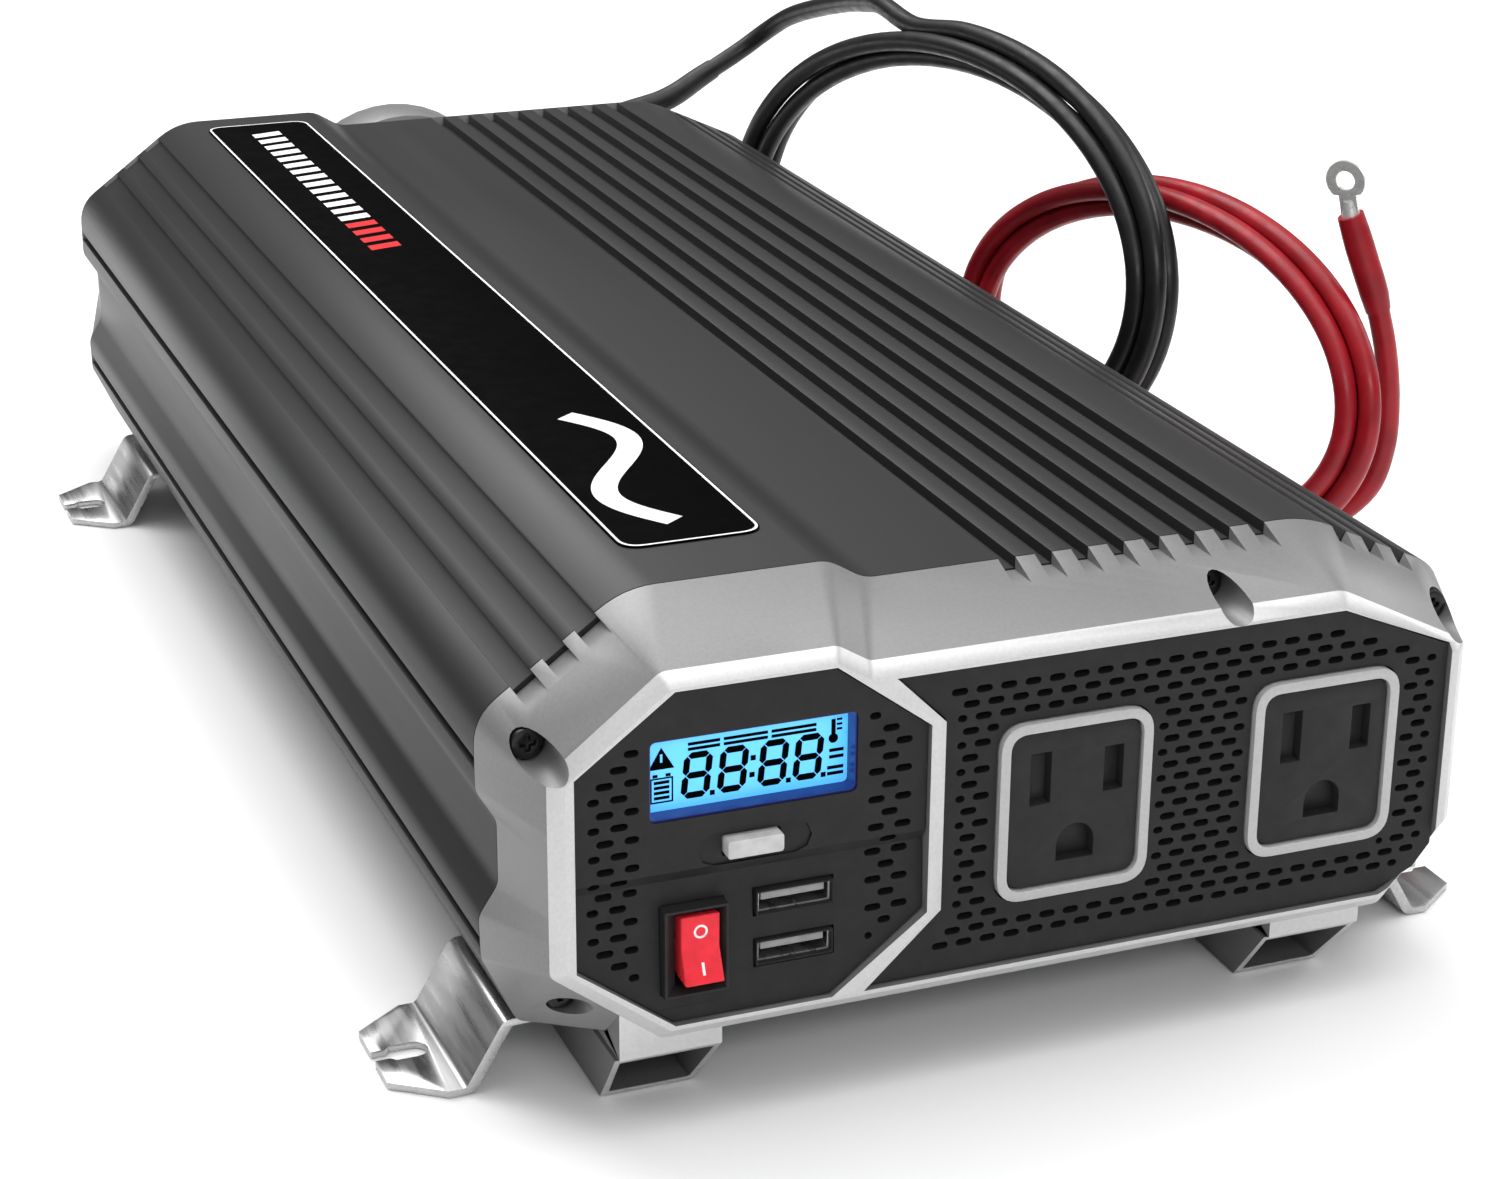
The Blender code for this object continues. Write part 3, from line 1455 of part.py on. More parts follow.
def build():
    global PARTS, CUTTERS
    clear_scene()
    PARTS = new_collection("power_inverter")
    CUTTERS = new_collection("cutters")

    graphite = material("graphite_paint", (0.055, 0.056, 0.058), 0.42, 0.5)
    silver = material("silver_paint", (0.45, 0.45, 0.46), 0.38, 0.6)
    panel_black = material("panel_black", (0.03, 0.03, 0.032), 0.55)
    label_black = material("label_black", (0.004, 0.004, 0.004), 0.3)
    zinc = material("zinc_steel", (0.62, 0.62, 0.64), 0.3, 0.9)
    rail_paint = material("rail_paint", (0.05, 0.05, 0.052), 0.4, 0.5)
    screw_black = material("screw_black", (0.02, 0.02, 0.02), 0.35, 0.6)
    glass = material("display_glass", (0.1, 0.55, 0.9), 0.15)
    grey_plastic = material("grey_plastic", (0.5, 0.5, 0.5), 0.5)
    red_plastic = material("red_plastic", (0.8, 0.03, 0.05), 0.35)
    satin_metal = material("satin_metal", (0.55, 0.55, 0.56), 0.35, 0.9)
    board_green = material("board_green", (0.02, 0.15, 0.05), 0.5)
    ferrite = material("ferrite", (0.3, 0.18, 0.08), 0.5)
    capacitor_blue = material("capacitor_blue", (0.03, 0.06, 0.2), 0.4)
    cable_black = material("cable_black", (0.02, 0.02, 0.02), 0.4)
    cable_red = material("cable_red", (0.35, 0.01, 0.03), 0.35)
    tin = material("tin_plate", (0.7, 0.7, 0.7), 0.25, 1.0)

    upper_shell(graphite)
    lower_shell(graphite)
    front_bezel(silver)
    rear_cap(silver)
    display_panel(panel_black)
    outlet_panel(panel_black)
    top_label(label_black)

    for side, x in zip(("left", "right"), RAIL_X):
        foot_rail(f"foot_rail_{side}", x, rail_paint)
    for name, side, y in bracket_places():
        bracket(name, side, y, zinc)
    for (name, _, _), xy in zip(bracket_places(), bracket_screw_places()):
        bracket_screw(name.replace("bracket", "bracket_screw"), xy, screw_black)
    for number in range(5):
        end_screw(f"bezel_screw_{number + 1}", number, True, screw_black)
    for number in range(4):
        end_screw(f"rear_cap_screw_{number + 1}", number, False, screw_black)

    display_window(glass)
    display_module(panel_black)
    menu_button(grey_plastic)
    menu_switch(panel_black)
    rocker_housing(panel_black)
    rocker_paddle(red_plastic)
    for number, usb in enumerate(display_places()["usb"], 1):
        usb_port(number, usb, satin_metal, grey_plastic)
    for side, (x, z) in zip(("left", "right"), outlet_centres()):
        outlet_body(f"outlet_{side}", x, z, panel_black)
        outlet_ring(f"outlet_ring_{side}", x, z, satin_metal)

    control_board(board_green)
    main_board(board_green)
    heatsink("heatsink_left", -1, satin_metal)
    heatsink("heatsink_right", 1, satin_metal)
    transformer(ferrite)
    capacitor(capacitor_blue)
    fan_frame(panel_black)
    fan_rotor(panel_black)
    fan_grille(panel_black)

    cable("black_boot", BLACK_ROUTE, BOOT_RADIUS, cable_black, 0, BLACK_BOOT_LENGTH)
    cable("black_cable_lead", BLACK_ROUTE, CABLE_RADIUS, cable_black,
          BLACK_BOOT_LENGTH + JOINT_GAP)
    coil_solid("black_cable_coil", BLACK_COIL, cable_black)
    cable("black_terminal_sleeve", BLACK_SLEEVE_ROUTE, BOOT_RADIUS, cable_black)
    ring_terminal(
        "black_ring_terminal", (111.35, 106.5, 3.3), (-0.083, 1, 0), (0, 0, 1), tin
    )
    cable("red_boot", RED_ROUTE, BOOT_RADIUS, cable_red, 0, RED_BOOT_LENGTH)
    cable("red_cable_lead", RED_ROUTE, CABLE_RADIUS, cable_red, RED_BOOT_LENGTH + JOINT_GAP)
    coil_solid("red_cable_coil", RED_COIL, cable_red)
    cable("red_cable_tail", RED_TAIL_ROUTE, CABLE_RADIUS, cable_red, 0, RED_TAIL_LENGTH)
    cable("red_terminal_sleeve", RED_TAIL_ROUTE, BOOT_RADIUS, cable_red,
          RED_TAIL_LENGTH + JOINT_GAP)
    ring_terminal(
        "red_ring_terminal", (143.8, -38.5, 92.1), (-0.2, 0.05, 0.98), (0.98, 0, 0.2), tin
    )


build()
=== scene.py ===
"""Visual model of the power inverter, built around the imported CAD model.

Metres, +Z up. The panel faces -Y and the inverter stands on z = 0.
"""

import json
import math

import bmesh
import bpy
from mathutils import Matrix, Vector

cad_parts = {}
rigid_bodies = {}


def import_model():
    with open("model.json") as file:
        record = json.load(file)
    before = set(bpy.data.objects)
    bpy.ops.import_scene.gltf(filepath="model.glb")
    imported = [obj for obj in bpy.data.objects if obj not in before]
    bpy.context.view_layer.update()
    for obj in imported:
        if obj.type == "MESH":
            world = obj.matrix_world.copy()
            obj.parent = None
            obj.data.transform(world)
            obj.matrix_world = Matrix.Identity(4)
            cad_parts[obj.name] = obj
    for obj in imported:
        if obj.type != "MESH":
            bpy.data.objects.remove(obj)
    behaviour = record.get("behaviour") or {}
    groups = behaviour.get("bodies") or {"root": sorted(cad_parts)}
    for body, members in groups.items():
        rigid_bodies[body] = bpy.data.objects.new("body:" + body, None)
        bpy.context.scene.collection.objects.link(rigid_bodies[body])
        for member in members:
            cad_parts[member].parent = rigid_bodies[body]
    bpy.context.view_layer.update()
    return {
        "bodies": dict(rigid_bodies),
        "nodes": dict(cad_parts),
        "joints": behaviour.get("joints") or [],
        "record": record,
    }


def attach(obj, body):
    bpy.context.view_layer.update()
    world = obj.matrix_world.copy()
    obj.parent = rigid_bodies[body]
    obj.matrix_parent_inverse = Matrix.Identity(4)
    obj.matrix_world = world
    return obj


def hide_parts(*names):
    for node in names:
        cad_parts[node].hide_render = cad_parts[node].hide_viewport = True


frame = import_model()

MM = 0.001
HOUSING = "housing"
ROCKER_BODY = "rocker"
MENU_KEY = "menu_key"
FAN = "fan_impeller"

# Sizes, as in the CAD
GAP = 0.3 * MM
HALF_WIDTH = 85.5 * MM
BODY_LENGTH = 323 * MM
BODY_BOTTOM = 12.5 * MM
BODY_HEIGHT = 71.5 * MM
DECK_STEP = 3.8 * MM
SHELL_WALL = 3.5 * MM
SPLIT_RISE = 15.3 * MM
CAP_DEPTH = 19.5 * MM
RIM_BEVEL = 2.2 * MM
FLARE = 5.9 * MM
DECK_SLOPE = 6.8 * MM
FLOOR_SLOPE = 2.8 * MM
CAP_WALL = 3 * MM
PANEL_MARGIN = 3.6 * MM
DISPLAY_OPENING_WIDTH = 58.2 * MM
OPENING_TOP = 2.7 * MM
OPENING_BOTTOM = 2.9 * MM
DIVIDER = 2.4 * MM
PANEL_SETBACK = 1 * MM
PANEL_THICKNESS = 3 * MM
LEDGE = 1 * MM
DECK_GROOVES = 8
GROOVE_PITCH = 6.48 * MM
GROOVE_WIDTH = 3.1 * MM
GROOVE_DEPTH = 2 * MM
FIRST_GROOVE_X = 3.55 * MM
CHAMFER_GROOVES = 3
CHANNEL_WIDTH = 4.1 * MM
CHANNEL_DEPTH = 0.9 * MM
SIDE_GROOVE_RISE = 46.1 * MM
SIDE_GROOVE_HEIGHT = 2 * MM
SIDE_GROOVE_DEPTH = 1.5 * MM
BEZEL_SCREW_DEPTH = 14 * MM
POCKET_RADIUS = 2.9 * MM
SCREW_HEAD_RADIUS = 2.6 * MM
SCREW_HEAD_HEIGHT = 2 * MM
SCREW_SHANK_RADIUS = 1.5 * MM
SCREW_SHANK_LENGTH = 12 * MM
RAIL_BOTTOM_WIDTH = 16 * MM
RAIL_TOP_WIDTH = 18 * MM
RAIL_WALL = 1.2 * MM
RAIL_X = (-60 * MM, 55 * MM)
BRACKET_SHEET = 1.2 * MM
BRACKET_LENGTH = 30 * MM
BRACKET_REACH = 13.5 * MM
BRACKET_PLATE = 12 * MM
BRACKET_FLANGE = 10 * MM
BRACKET_FRONT = 17 * MM
BRACKET_REAR = 30 * MM
SLOT_BULB = 4.8 * MM
SLOT_THROAT = 3 * MM
SLOT_LENGTH = 9.2 * MM
WINDOW = (11.6 * MM, 40.4 * MM, 35 * MM, 14.7 * MM)
MENU = (24.3 * MM, 33.15 * MM, 9.2 * MM, 3 * MM)
ROCKER = (13.9 * MM, 10.7 * MM, 10.8 * MM, 15.2 * MM)
USB = (29.3 * MM, (12.8 * MM, 21.4 * MM), 13.6 * MM, 4.9 * MM)
MENU_PROUD = 1.2 * MM
ROCKER_ANGLE = math.radians(24)
ROCKER_HALF = 5.7 * MM
ROCKER_WIDTH = 6.4 * MM
ROCKER_PIVOT_RADIUS = 2.6 * MM
OUTLET_FROM_RIGHT = (68.3 * MM, 22.96 * MM)
OUTLET_Z = 32 * MM
OUTLET_WIDTH = 27.4 * MM
OUTLET_HEIGHT = 31.4 * MM
OUTLET_RING = 2 * MM
OUTLET_CORNER = 5 * MM
OUTLET_DEPTH = 24 * MM
SOCKET_DEPTH = 12 * MM
FAN_X = 0 * MM
FAN_RISE = 36.5 * MM
FAN_SIZE = 50 * MM
FAN_DEPTH = 15 * MM
FAN_BORE = 23.5 * MM
COLLAR_RADIUS = 28 * MM
COLLAR_WALL = 3 * MM
COLLAR_LENGTH = 12 * MM
BLADES = 7
BOOT_RADIUS = 3.1 * MM
CABLE_X = 45.5 * MM
BLACK_CABLE_RISE = 47 * MM
RED_CABLE_RISE = 22 * MM
ROCKER_PROUD = 2.5 * MM
TOTAL_LENGTH = ROCKER_PROUD + 2 * CAP_DEPTH + BODY_LENGTH + COLLAR_LENGTH
FRONT_Y = -TOTAL_LENGTH / 2 + ROCKER_PROUD
BODY_FRONT = FRONT_Y + CAP_DEPTH
BODY_BACK = BODY_FRONT + BODY_LENGTH
REAR_Y = BODY_BACK + CAP_DEPTH
BODY_TOP = BODY_BOTTOM + BODY_HEIGHT
DECK_LOW = BODY_TOP - DECK_STEP
SPLIT_Z = BODY_BOTTOM + SPLIT_RISE
RIM_HALF = HALF_WIDTH - FLARE
RIM_TOP = BODY_TOP - DECK_SLOPE
RIM_LOW = DECK_LOW - DECK_SLOPE + 0.5 * MM
RIM_BOTTOM = BODY_BOTTOM + FLOOR_SLOPE
PANEL_Y = FRONT_Y + PANEL_SETBACK
LEDGE_Y = PANEL_Y + PANEL_THICKNESS + GAP
DISPLAY_LEFT = -RIM_HALF + PANEL_MARGIN
DISPLAY_RIGHT = DISPLAY_LEFT + DISPLAY_OPENING_WIDTH
OUTLET_LEFT = DISPLAY_RIGHT + DIVIDER
OUTLET_RIGHT = RIM_HALF - PANEL_MARGIN
SCREW_SEAT_DEPTH = CAP_DEPTH - BEZEL_SCREW_DEPTH

# Sizes inside one piece, and sizes of the visual model only
RIGHT_GROOVE_START = 7.3 * MM
LEFT_CHANNEL_START = 9.4 * MM
RIGHT_GROOVE_DEPTH = 1.5 * MM
CLEAR = 9 * MM
UPPER_CHANNEL = 4.2 * MM
LOWER_CHANNEL = 5.6 * MM
CAP_HOLLOW_LEFT = 24 * MM
CAP_HOLLOW_RIGHT = 30 * MM
NOTCH_DEPTHS = (2.2 * MM, 1.9 * MM, 1.7 * MM)
NOTCH_REACH = 12 * MM
CROSS_WIDTH = 0.8 * MM
CROSS_DEPTH = 2 * MM
END_CROSS = 2.6 * MM
BRACKET_CROSS = 2.8 * MM
BRACKET_HEAD_HEIGHT = 1.8 * MM
FRAME_PROUD = 1.5 * MM
SHUTTER_SETBACK = 2.9 * MM
SHUTTER_THICKNESS = 1.5 * MM
KEY_DRAWN_IN = 0.5 * MM
INK = 0.02 * MM
LABEL_FILM = 0.3 * MM
MARK_START = 0.05 * MM
MARK_THICKNESS = 0.1 * MM


# ---------------------------------------------------------------- materials


class Shader:
    """A Principled material with small helpers for its procedural detail."""

    def __init__(self, name, colour, roughness, metallic=0.0, **inputs):
        self.material = bpy.data.materials.new(name)
        self.material.use_nodes = True
        self.nodes = self.material.node_tree.nodes
        self.links = self.material.node_tree.links
        self.bsdf = self.nodes["Principled BSDF"]
        self.colour = colour
        self.roughness = roughness
        self.bsdf.inputs["Base Color"].default_value = (*colour, 1)
        self.bsdf.inputs["Roughness"].default_value = roughness
        self.bsdf.inputs["Metallic"].default_value = metallic
        for key, value in inputs.items():
            self.bsdf.inputs[key.replace("_", " ")].default_value = value
        self.height = None

    def coordinates(self, stretch=(1, 1, 1)):
        where = self.nodes.new("ShaderNodeTexCoord")
        mapping = self.nodes.new("ShaderNodeMapping")
        mapping.inputs["Scale"].default_value = stretch
        self.links.new(where.outputs["Object"], mapping.inputs["Vector"])
        return mapping.outputs["Vector"]

    def noise(self, scale, detail=2.0, stretch=(1, 1, 1)):
        made = self.nodes.new("ShaderNodeTexNoise")
        made.inputs["Scale"].default_value = scale
        made.inputs["Detail"].default_value = detail
        self.links.new(self.coordinates(stretch), made.inputs["Vector"])
        return made.outputs["Fac"]

    def ramp(self, source, low, high, start=0.35, stop=0.65):
        """Maps a 0-1 value to a range of colours or numbers."""
        made = self.nodes.new("ShaderNodeValToRGB")
        first, last = made.color_ramp.elements
        first.position, last.position = start, stop
        first.color = (*low, 1) if isinstance(low, tuple) else (low, low, low, 1)
        last.color = (*high, 1) if isinstance(high, tuple) else (high, high, high, 1)
        self.links.new(source, made.inputs["Fac"])
        return made.outputs["Color"]

    def vary_colour(self, source, low, high):
        """Moves the base colour between two multiples of itself."""
        dark = tuple(min(c * low, 1) for c in self.colour)
        light = tuple(min(c * high, 1) for c in self.colour)
        self.links.new(self.ramp(source, dark, light), self.bsdf.inputs["Base Color"])

    def vary_roughness(self, source, low, high):
        self.links.new(self.ramp(source, self.roughness + low, self.roughness + high),
            self.bsdf.inputs["Roughness"])

    def bump(self, source, distance, strength=1.0):
        made = self.nodes.new("ShaderNodeBump")
        made.inputs["Distance"].default_value = distance
        made.inputs["Strength"].default_value = strength
        self.links.new(source, made.inputs["Height"])
        if self.height is not None:
            self.links.new(self.height, made.inputs["Normal"])
        self.height = made.outputs["Normal"]
        self.links.new(self.height, self.bsdf.inputs["Normal"])


def coated_metal(name, colour, roughness, metallic, grain=1.0):
    """Powder coating over an extrusion: fine orange peel and faint lines along its length."""
    made = Shader(name, colour, roughness, metallic, Specular_IOR_Level=0.3)
    made.vary_colour(made.noise(1600, 3), 0.965, 1.035)
    made.vary_roughness(made.noise(60, 4, (1, 0.08, 1)), -0.04, 0.05)
    made.bump(made.noise(3000, 2), 0.00003 * grain, 0.3)
    made.bump(made.noise(420, 2, (1, 0.02, 1)), 0.00002 * grain, 0.2)
    return made.material


def moulded_plastic(name, colour, roughness, grain=1.0, shine=0.22):
    """Moulded plastic with a fine spark-eroded texture."""
    made = Shader(name, colour, roughness, 0.0, Specular_IOR_Level=shine)
    made.vary_colour(made.noise(500, 3), 0.92, 1.08)
    made.vary_roughness(made.noise(240, 3), -0.05, 0.06)
    made.bump(made.noise(3200, 2), 0.00004 * grain, 0.5)
    return made.material


def brushed(name, colour, roughness, stretch, metallic=1.0):
    """Rolled or brushed metal: fine scratches along one direction."""
    made = Shader(name, colour, roughness, metallic)
    made.vary_colour(made.noise(900, 4, stretch), 0.94, 1.04)
    made.vary_roughness(made.noise(500, 4, stretch), -0.07, 0.1)
    made.bump(made.noise(1500, 3, stretch), 0.00002, 0.25)
    return made.material


def jacket(name, colour):
    """Extruded cable jacket: gloss with faint marks along it."""
    made = Shader(name, colour, 0.36, 0.0, Specular_IOR_Level=0.3)
    made.vary_colour(made.noise(130, 4), 0.82, 1.15)
    made.vary_roughness(made.noise(300, 3), -0.06, 0.1)
    made.bump(made.noise(260, 3), 0.00012, 0.35)
    return made.material


GRAPHITE = coated_metal("graphite_coating", (0.024, 0.0243, 0.025), 0.42, 0.22)
SILVER = coated_metal("silver_coating", (0.215, 0.215, 0.217), 0.42, 0.4, 0.5)
# Painted highlight: a brighter copy of the silver coating, for the outer rim's outward-facing
# faces where the light catches them.
RIM_HIGHLIGHT_SILVER = coated_metal("rim_silver_painted_highlight", (0.56, 0.56, 0.563), 0.36, 0.4, 0.4)
RAIL = coated_metal("rail_coating", (0.15, 0.15, 0.153), 0.4, 0.4)
BARE_EDGE = brushed("bare_edge", (0.62, 0.62, 0.63), 0.35, (1, 1, 0.1))
PANEL_BLACK = moulded_plastic("panel_plastic", (0.015, 0.015, 0.0155), 0.5)
DEEP_BLACK = moulded_plastic("inner_plastic", (0.008, 0.008, 0.009), 0.6)
OUTLET_BLACK = moulded_plastic("outlet_plastic", (0.018, 0.018, 0.0185), 0.5)
LABEL_BLACK = moulded_plastic("label_film", (0.001, 0.001, 0.001), 0.55, 0.1, 0.01)
LABEL_WHITE = moulded_plastic("label_ink_white", (0.8, 0.8, 0.8), 0.4, 0.2)
LABEL_RED = moulded_plastic("label_ink_red", (0.62, 0.015, 0.02), 0.4, 0.2)
RING_GREY = coated_metal("outlet_ring_satin", (0.44, 0.44, 0.44), 0.42, 0.15, 0.5)
ZINC = brushed("zinc_steel", (0.5, 0.5, 0.5), 0.28, (1, 0.06, 1))
SCREW_BLACK = brushed("screw_oxide", (0.03, 0.03, 0.03), 0.34, (1, 1, 1), 0.8)
RED = moulded_plastic("red_switch", (0.78, 0.028, 0.045), 0.3, 0.3)
WHITE_MARK = moulded_plastic("white_mark", (0.85, 0.85, 0.85), 0.4, 0.3)
KEY_GREY = moulded_plastic("key_grey", (0.52, 0.52, 0.52), 0.4, 0.4)
USB_METAL = brushed("usb_metal", (0.5, 0.5, 0.5), 0.3, (1, 0.1, 1))
TONGUE_GREY = moulded_plastic("tongue_plastic", (0.3, 0.3, 0.3), 0.45)
BLACK_JACKET = jacket("black_jacket", (0.008, 0.008, 0.008))
RED_JACKET = jacket("red_jacket", (0.29, 0.006, 0.013))
TIN = brushed("tin_plate", (0.78, 0.78, 0.77), 0.3, (0.2, 1, 1), 0.55)
BOARD = moulded_plastic("solder_mask", (0.015, 0.12, 0.04), 0.4)
FERRITE = moulded_plastic("winding_tape", (0.42, 0.26, 0.05), 0.45)
SLEEVE_BLUE = moulded_plastic("capacitor_sleeve", (0.02, 0.04, 0.16), 0.35)
FIN_METAL = brushed("heatsink_metal", (0.55, 0.55, 0.56), 0.4, (1, 0.05, 1))


def glowing(name, colour, strength, roughness=0.3):
    made = Shader(name, colour, roughness)
    made.bsdf.inputs["Emission Color"].default_value = (*colour, 1)
    made.bsdf.inputs["Emission Strength"].default_value = strength
    made.vary_colour(made.noise(90, 2), 0.96, 1.04)
    return made.material


DISPLAY_BLUE = glowing("display_backlight", (0.1, 0.5, 0.95), 0.62)
DISPLAY_EDGE = glowing("display_edge_glow", (0.006, 0.016, 0.16), 0.35)


# ---------------------------------------------------------------- geometry helpers


def face_outwards(work):
    bmesh.ops.recalc_face_normals(work, faces=work.faces)
    if work.calc_volume(signed=True) < 0:
        bmesh.ops.reverse_faces(work, faces=work.faces)


def mesh_from(build, name):
    work = bmesh.new()
    build(work)
    face_outwards(work)
    mesh = bpy.data.meshes.new(name)
    work.to_mesh(mesh)
    work.free()
    return mesh


def place(name, mesh, *looks):
    made = bpy.data.objects.new(name, mesh)
    mesh.materials.clear()
    for look in looks:
        if look is not None:
            mesh.materials.append(look)
    bpy.context.scene.collection.objects.link(made)
    return made


def box(name, low, high, *looks):
    size = [b - a for a, b in zip(low, high)]
    middle = [(a + b) / 2 for a, b in zip(low, high)]
    matrix = Matrix.Translation(middle) @ Matrix.Diagonal((*size, 1))
    return place(name, mesh_from(lambda w: bmesh.ops.create_cube(w, size=1, matrix=matrix),
        name), *looks)


AXIS_TURN = {"X": Matrix.Rotation(math.pi / 2, 4, "Y"),
    "Y": Matrix.Rotation(-math.pi / 2, 4, "X"), "Z": Matrix.Identity(4)}


def rod(name, radius, start, length, *looks, axis="Y", sides=40, end_radius=None):
    matrix = Matrix.Translation(start) @ AXIS_TURN[axis]
    matrix = matrix @ Matrix.Translation((0, 0, length / 2))
    tip = radius if end_radius is None else end_radius

    def build(work):
        bmesh.ops.create_cone(work, cap_ends=True, segments=sides, radius1=radius, radius2=tip,
            depth=length, matrix=matrix)

    return place(name, mesh_from(build, name), *looks)


def sheet(name, outlines, start, thickness, *looks, axis="Y"):
    """A flat outline with holes, thickened along an axis, whose points leave that axis out."""
    data = bpy.data.curves.new(name, "CURVE")
    data.dimensions = "2D"
    data.fill_mode = "BOTH"
    data.extrude = thickness / 2
    for outline in outlines:
        spline = data.splines.new("POLY")
        spline.points.add(len(outline) - 1)
        for point, (across, up) in zip(spline.points, outline):
            point.co = (across, up, 0, 1)
        spline.use_cyclic_u = True
    made = bpy.data.objects.new(name, data)
    bpy.context.scene.collection.objects.link(made)
    middle = start + thickness / 2
    matrix = Matrix.Translation((0, 0, middle))
    if axis == "Y":
        matrix = Matrix.Translation((0, middle, 0)) @ Matrix.Rotation(math.pi / 2, 4, "X")
    elif axis == "X":
        matrix = (Matrix.Translation((middle, 0, 0)) @ Matrix.Rotation(math.pi / 2, 4, "Z")
            @ Matrix.Rotation(math.pi / 2, 4, "X"))
    bpy.context.view_layer.update()
    mesh = bpy.data.meshes.new_from_object(
        made.evaluated_get(bpy.context.evaluated_depsgraph_get())
    )
    bpy.data.objects.remove(made)
    work = bmesh.new()
    work.from_mesh(mesh)
    bmesh.ops.remove_doubles(work, verts=work.verts, dist=1e-6)
    bmesh.ops.transform(work, matrix=matrix, verts=work.verts)
    face_outwards(work)
    work.to_mesh(mesh)
    work.free()
    return place(name, mesh, *looks)


def loft(name, rings, *looks):
    """A closed solid through rings of (x, z) points, each at its own y."""

    def build(work):
        loops = [[work.verts.new((x, y, z)) for x, z in points] for y, points in rings]
        count = len(loops[0])
        for first, second in zip(loops, loops[1:]):
            for i in range(count):
                j = (i + 1) % count
                work.faces.new((first[i], first[j], second[j], second[i]))
        work.faces.new(loops[0])
        work.faces.new(loops[-1])

    return place(name, mesh_from(build, name), *looks)


def bake_modifiers(piece):
    """Applies a piece's modifiers to its mesh."""
    bpy.context.view_layer.update()
    graph = bpy.context.evaluated_depsgraph_get()
    mesh = bpy.data.meshes.new_from_object(piece.evaluated_get(graph))
    piece.modifiers.clear()
    piece.data = mesh


def combine(target, others, operation):
    """Booleans other solids into or out of the target, then removes them."""
    for other in others:
        modifier = target.modifiers.new(other.name, "BOOLEAN")
        modifier.operation = operation
        modifier.object = other
        modifier.solver = "EXACT"
    bake_modifiers(target)
    for other in others:
        bpy.data.objects.remove(other)


def cut(target, *others):
    combine(target, others, "DIFFERENCE")


def join(target, *others):
    combine(target, others, "UNION")


def soften(piece, width, segments=2, angle=28):
    """Small rounded edges, then smooth shading that keeps the sharp ones."""
    if width:
        modifier = piece.modifiers.new("edges", "BEVEL")
        modifier.width = width
        modifier.segments = segments
        modifier.limit_method = "ANGLE"
        modifier.angle_limit = math.radians(angle)
        modifier.harden_normals = False
        modifier.use_clamp_overlap = True
        bake_modifiers(piece)
    piece.data.shade_smooth()
    piece.data.set_sharp_from_angle(angle=math.radians(angle + 4))
    return piece


def on(piece, body, slot, *nodes):
    """Rides a body and stands for CAD nodes, whose shapes it hides. The slot argument is not
    used.
    """
    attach(piece, body)
    if nodes:
        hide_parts(*nodes)
    return piece


def finish(piece, width, body, slot, *nodes, segments=2):
    """Softens a piece's edges and attaches it."""
    return on(soften(piece, width, segments), body, slot, *nodes)


# ---------------------------------------------------------------- outlines


def rounded(corners, steps=6):
    """An outline whose (x, z, radius) corners are smooth curves of steps + 1 points."""
    points = []
    count = len(corners)
    for i, (x, z, radius) in enumerate(corners):
        here = Vector((x, z))
        before = Vector(corners[i - 1][:2]) - here
        after = Vector(corners[(i + 1) % count][:2]) - here
        half_turn = (math.pi - before.angle(after)) / 2
        reach = max(radius * math.tan(half_turn), 0.2 * MM)
        reach = min(reach, before.length * 0.45, after.length * 0.45)
        start = here + before.normalized() * reach
        end = here + after.normalized() * reach
        for step in range(steps + 1):
            t = step / steps
            point = start * (1 - t) ** 2 + here * 2 * t * (1 - t) + end * t**2
            points.append((point.x, point.y))
    return points


def rounded_rectangle(left, bottom, width, height, radius, steps=6):
    right, top = left + width, bottom + height
    return rounded([(left, bottom, radius), (right, bottom, radius), (right, top, radius),
        (left, top, radius)], steps)


def circle(x, z, radius, sides=48):
    return [(x + radius * math.cos(2 * math.pi * i / sides),
        z + radius * math.sin(2 * math.pi * i / sides)) for i in range(sides)]


def section_corners():
    """The body's cross-section corners, clockwise from the lower left, as (x, z, radius)."""
    low = BODY_BOTTOM
    side = HALF_WIDTH
    waist = HALF_WIDTH - 3.3 * MM
    left = [(-side + 6 * MM, low, 3 * MM), (-side + 0.2 * MM, low + 12.7 * MM, 3 * MM),
        (-side, low + 20 * MM, 4 * MM), (-waist, low + 25 * MM, 4 * MM),
        (-waist, low + 36 * MM, 4 * MM), (-side, low + 41.5 * MM, 4 * MM),
        (-side, BODY_TOP - 17.9 * MM, 9 * MM), (-side + 24.2 * MM, BODY_TOP, 16 * MM)]
    step = [(-side + 58 * MM, BODY_TOP, 7 * MM), (-side + 64.3 * MM, DECK_LOW, 7 * MM),
        (side - 27.2 * MM, DECK_LOW, 24 * MM), (side, DECK_LOW - 12.6 * MM, 8 * MM)]
    right = [(-x, z, radius) for x, z, radius in reversed(left[:6])]
    return left + step + right


def rim_corners():
    """The end outline's corners, one for each of section_corners."""
    low = RIM_BOTTOM
    side = RIM_HALF
    left = [(-side + 18 * MM, low, 2 * MM), (-side, low + 14 * MM, 2 * MM),
        (-side, low + 20 * MM, 4 * MM), (-side, low + 24 * MM, 4 * MM),
        (-side, low + 33 * MM, 4 * MM), (-side, low + 38 * MM, 4 * MM),
        (-side, RIM_TOP - 14.2 * MM, 3 * MM), (-side + 18.1 * MM, RIM_TOP, 3 * MM)]
    step = [(-side + 46.6 * MM, RIM_TOP, 3 * MM), (-side + 52 * MM, RIM_LOW, 3 * MM),
        (side - 24.1 * MM, RIM_LOW, 6 * MM), (side, RIM_LOW - 12.2 * MM, 2 * MM)]
    right = [(-x, z, radius) for x, z, radius in reversed(left[1:6])]
    corner = [(side - 12.5 * MM, low, 2 * MM)]
    return left + step + right + corner


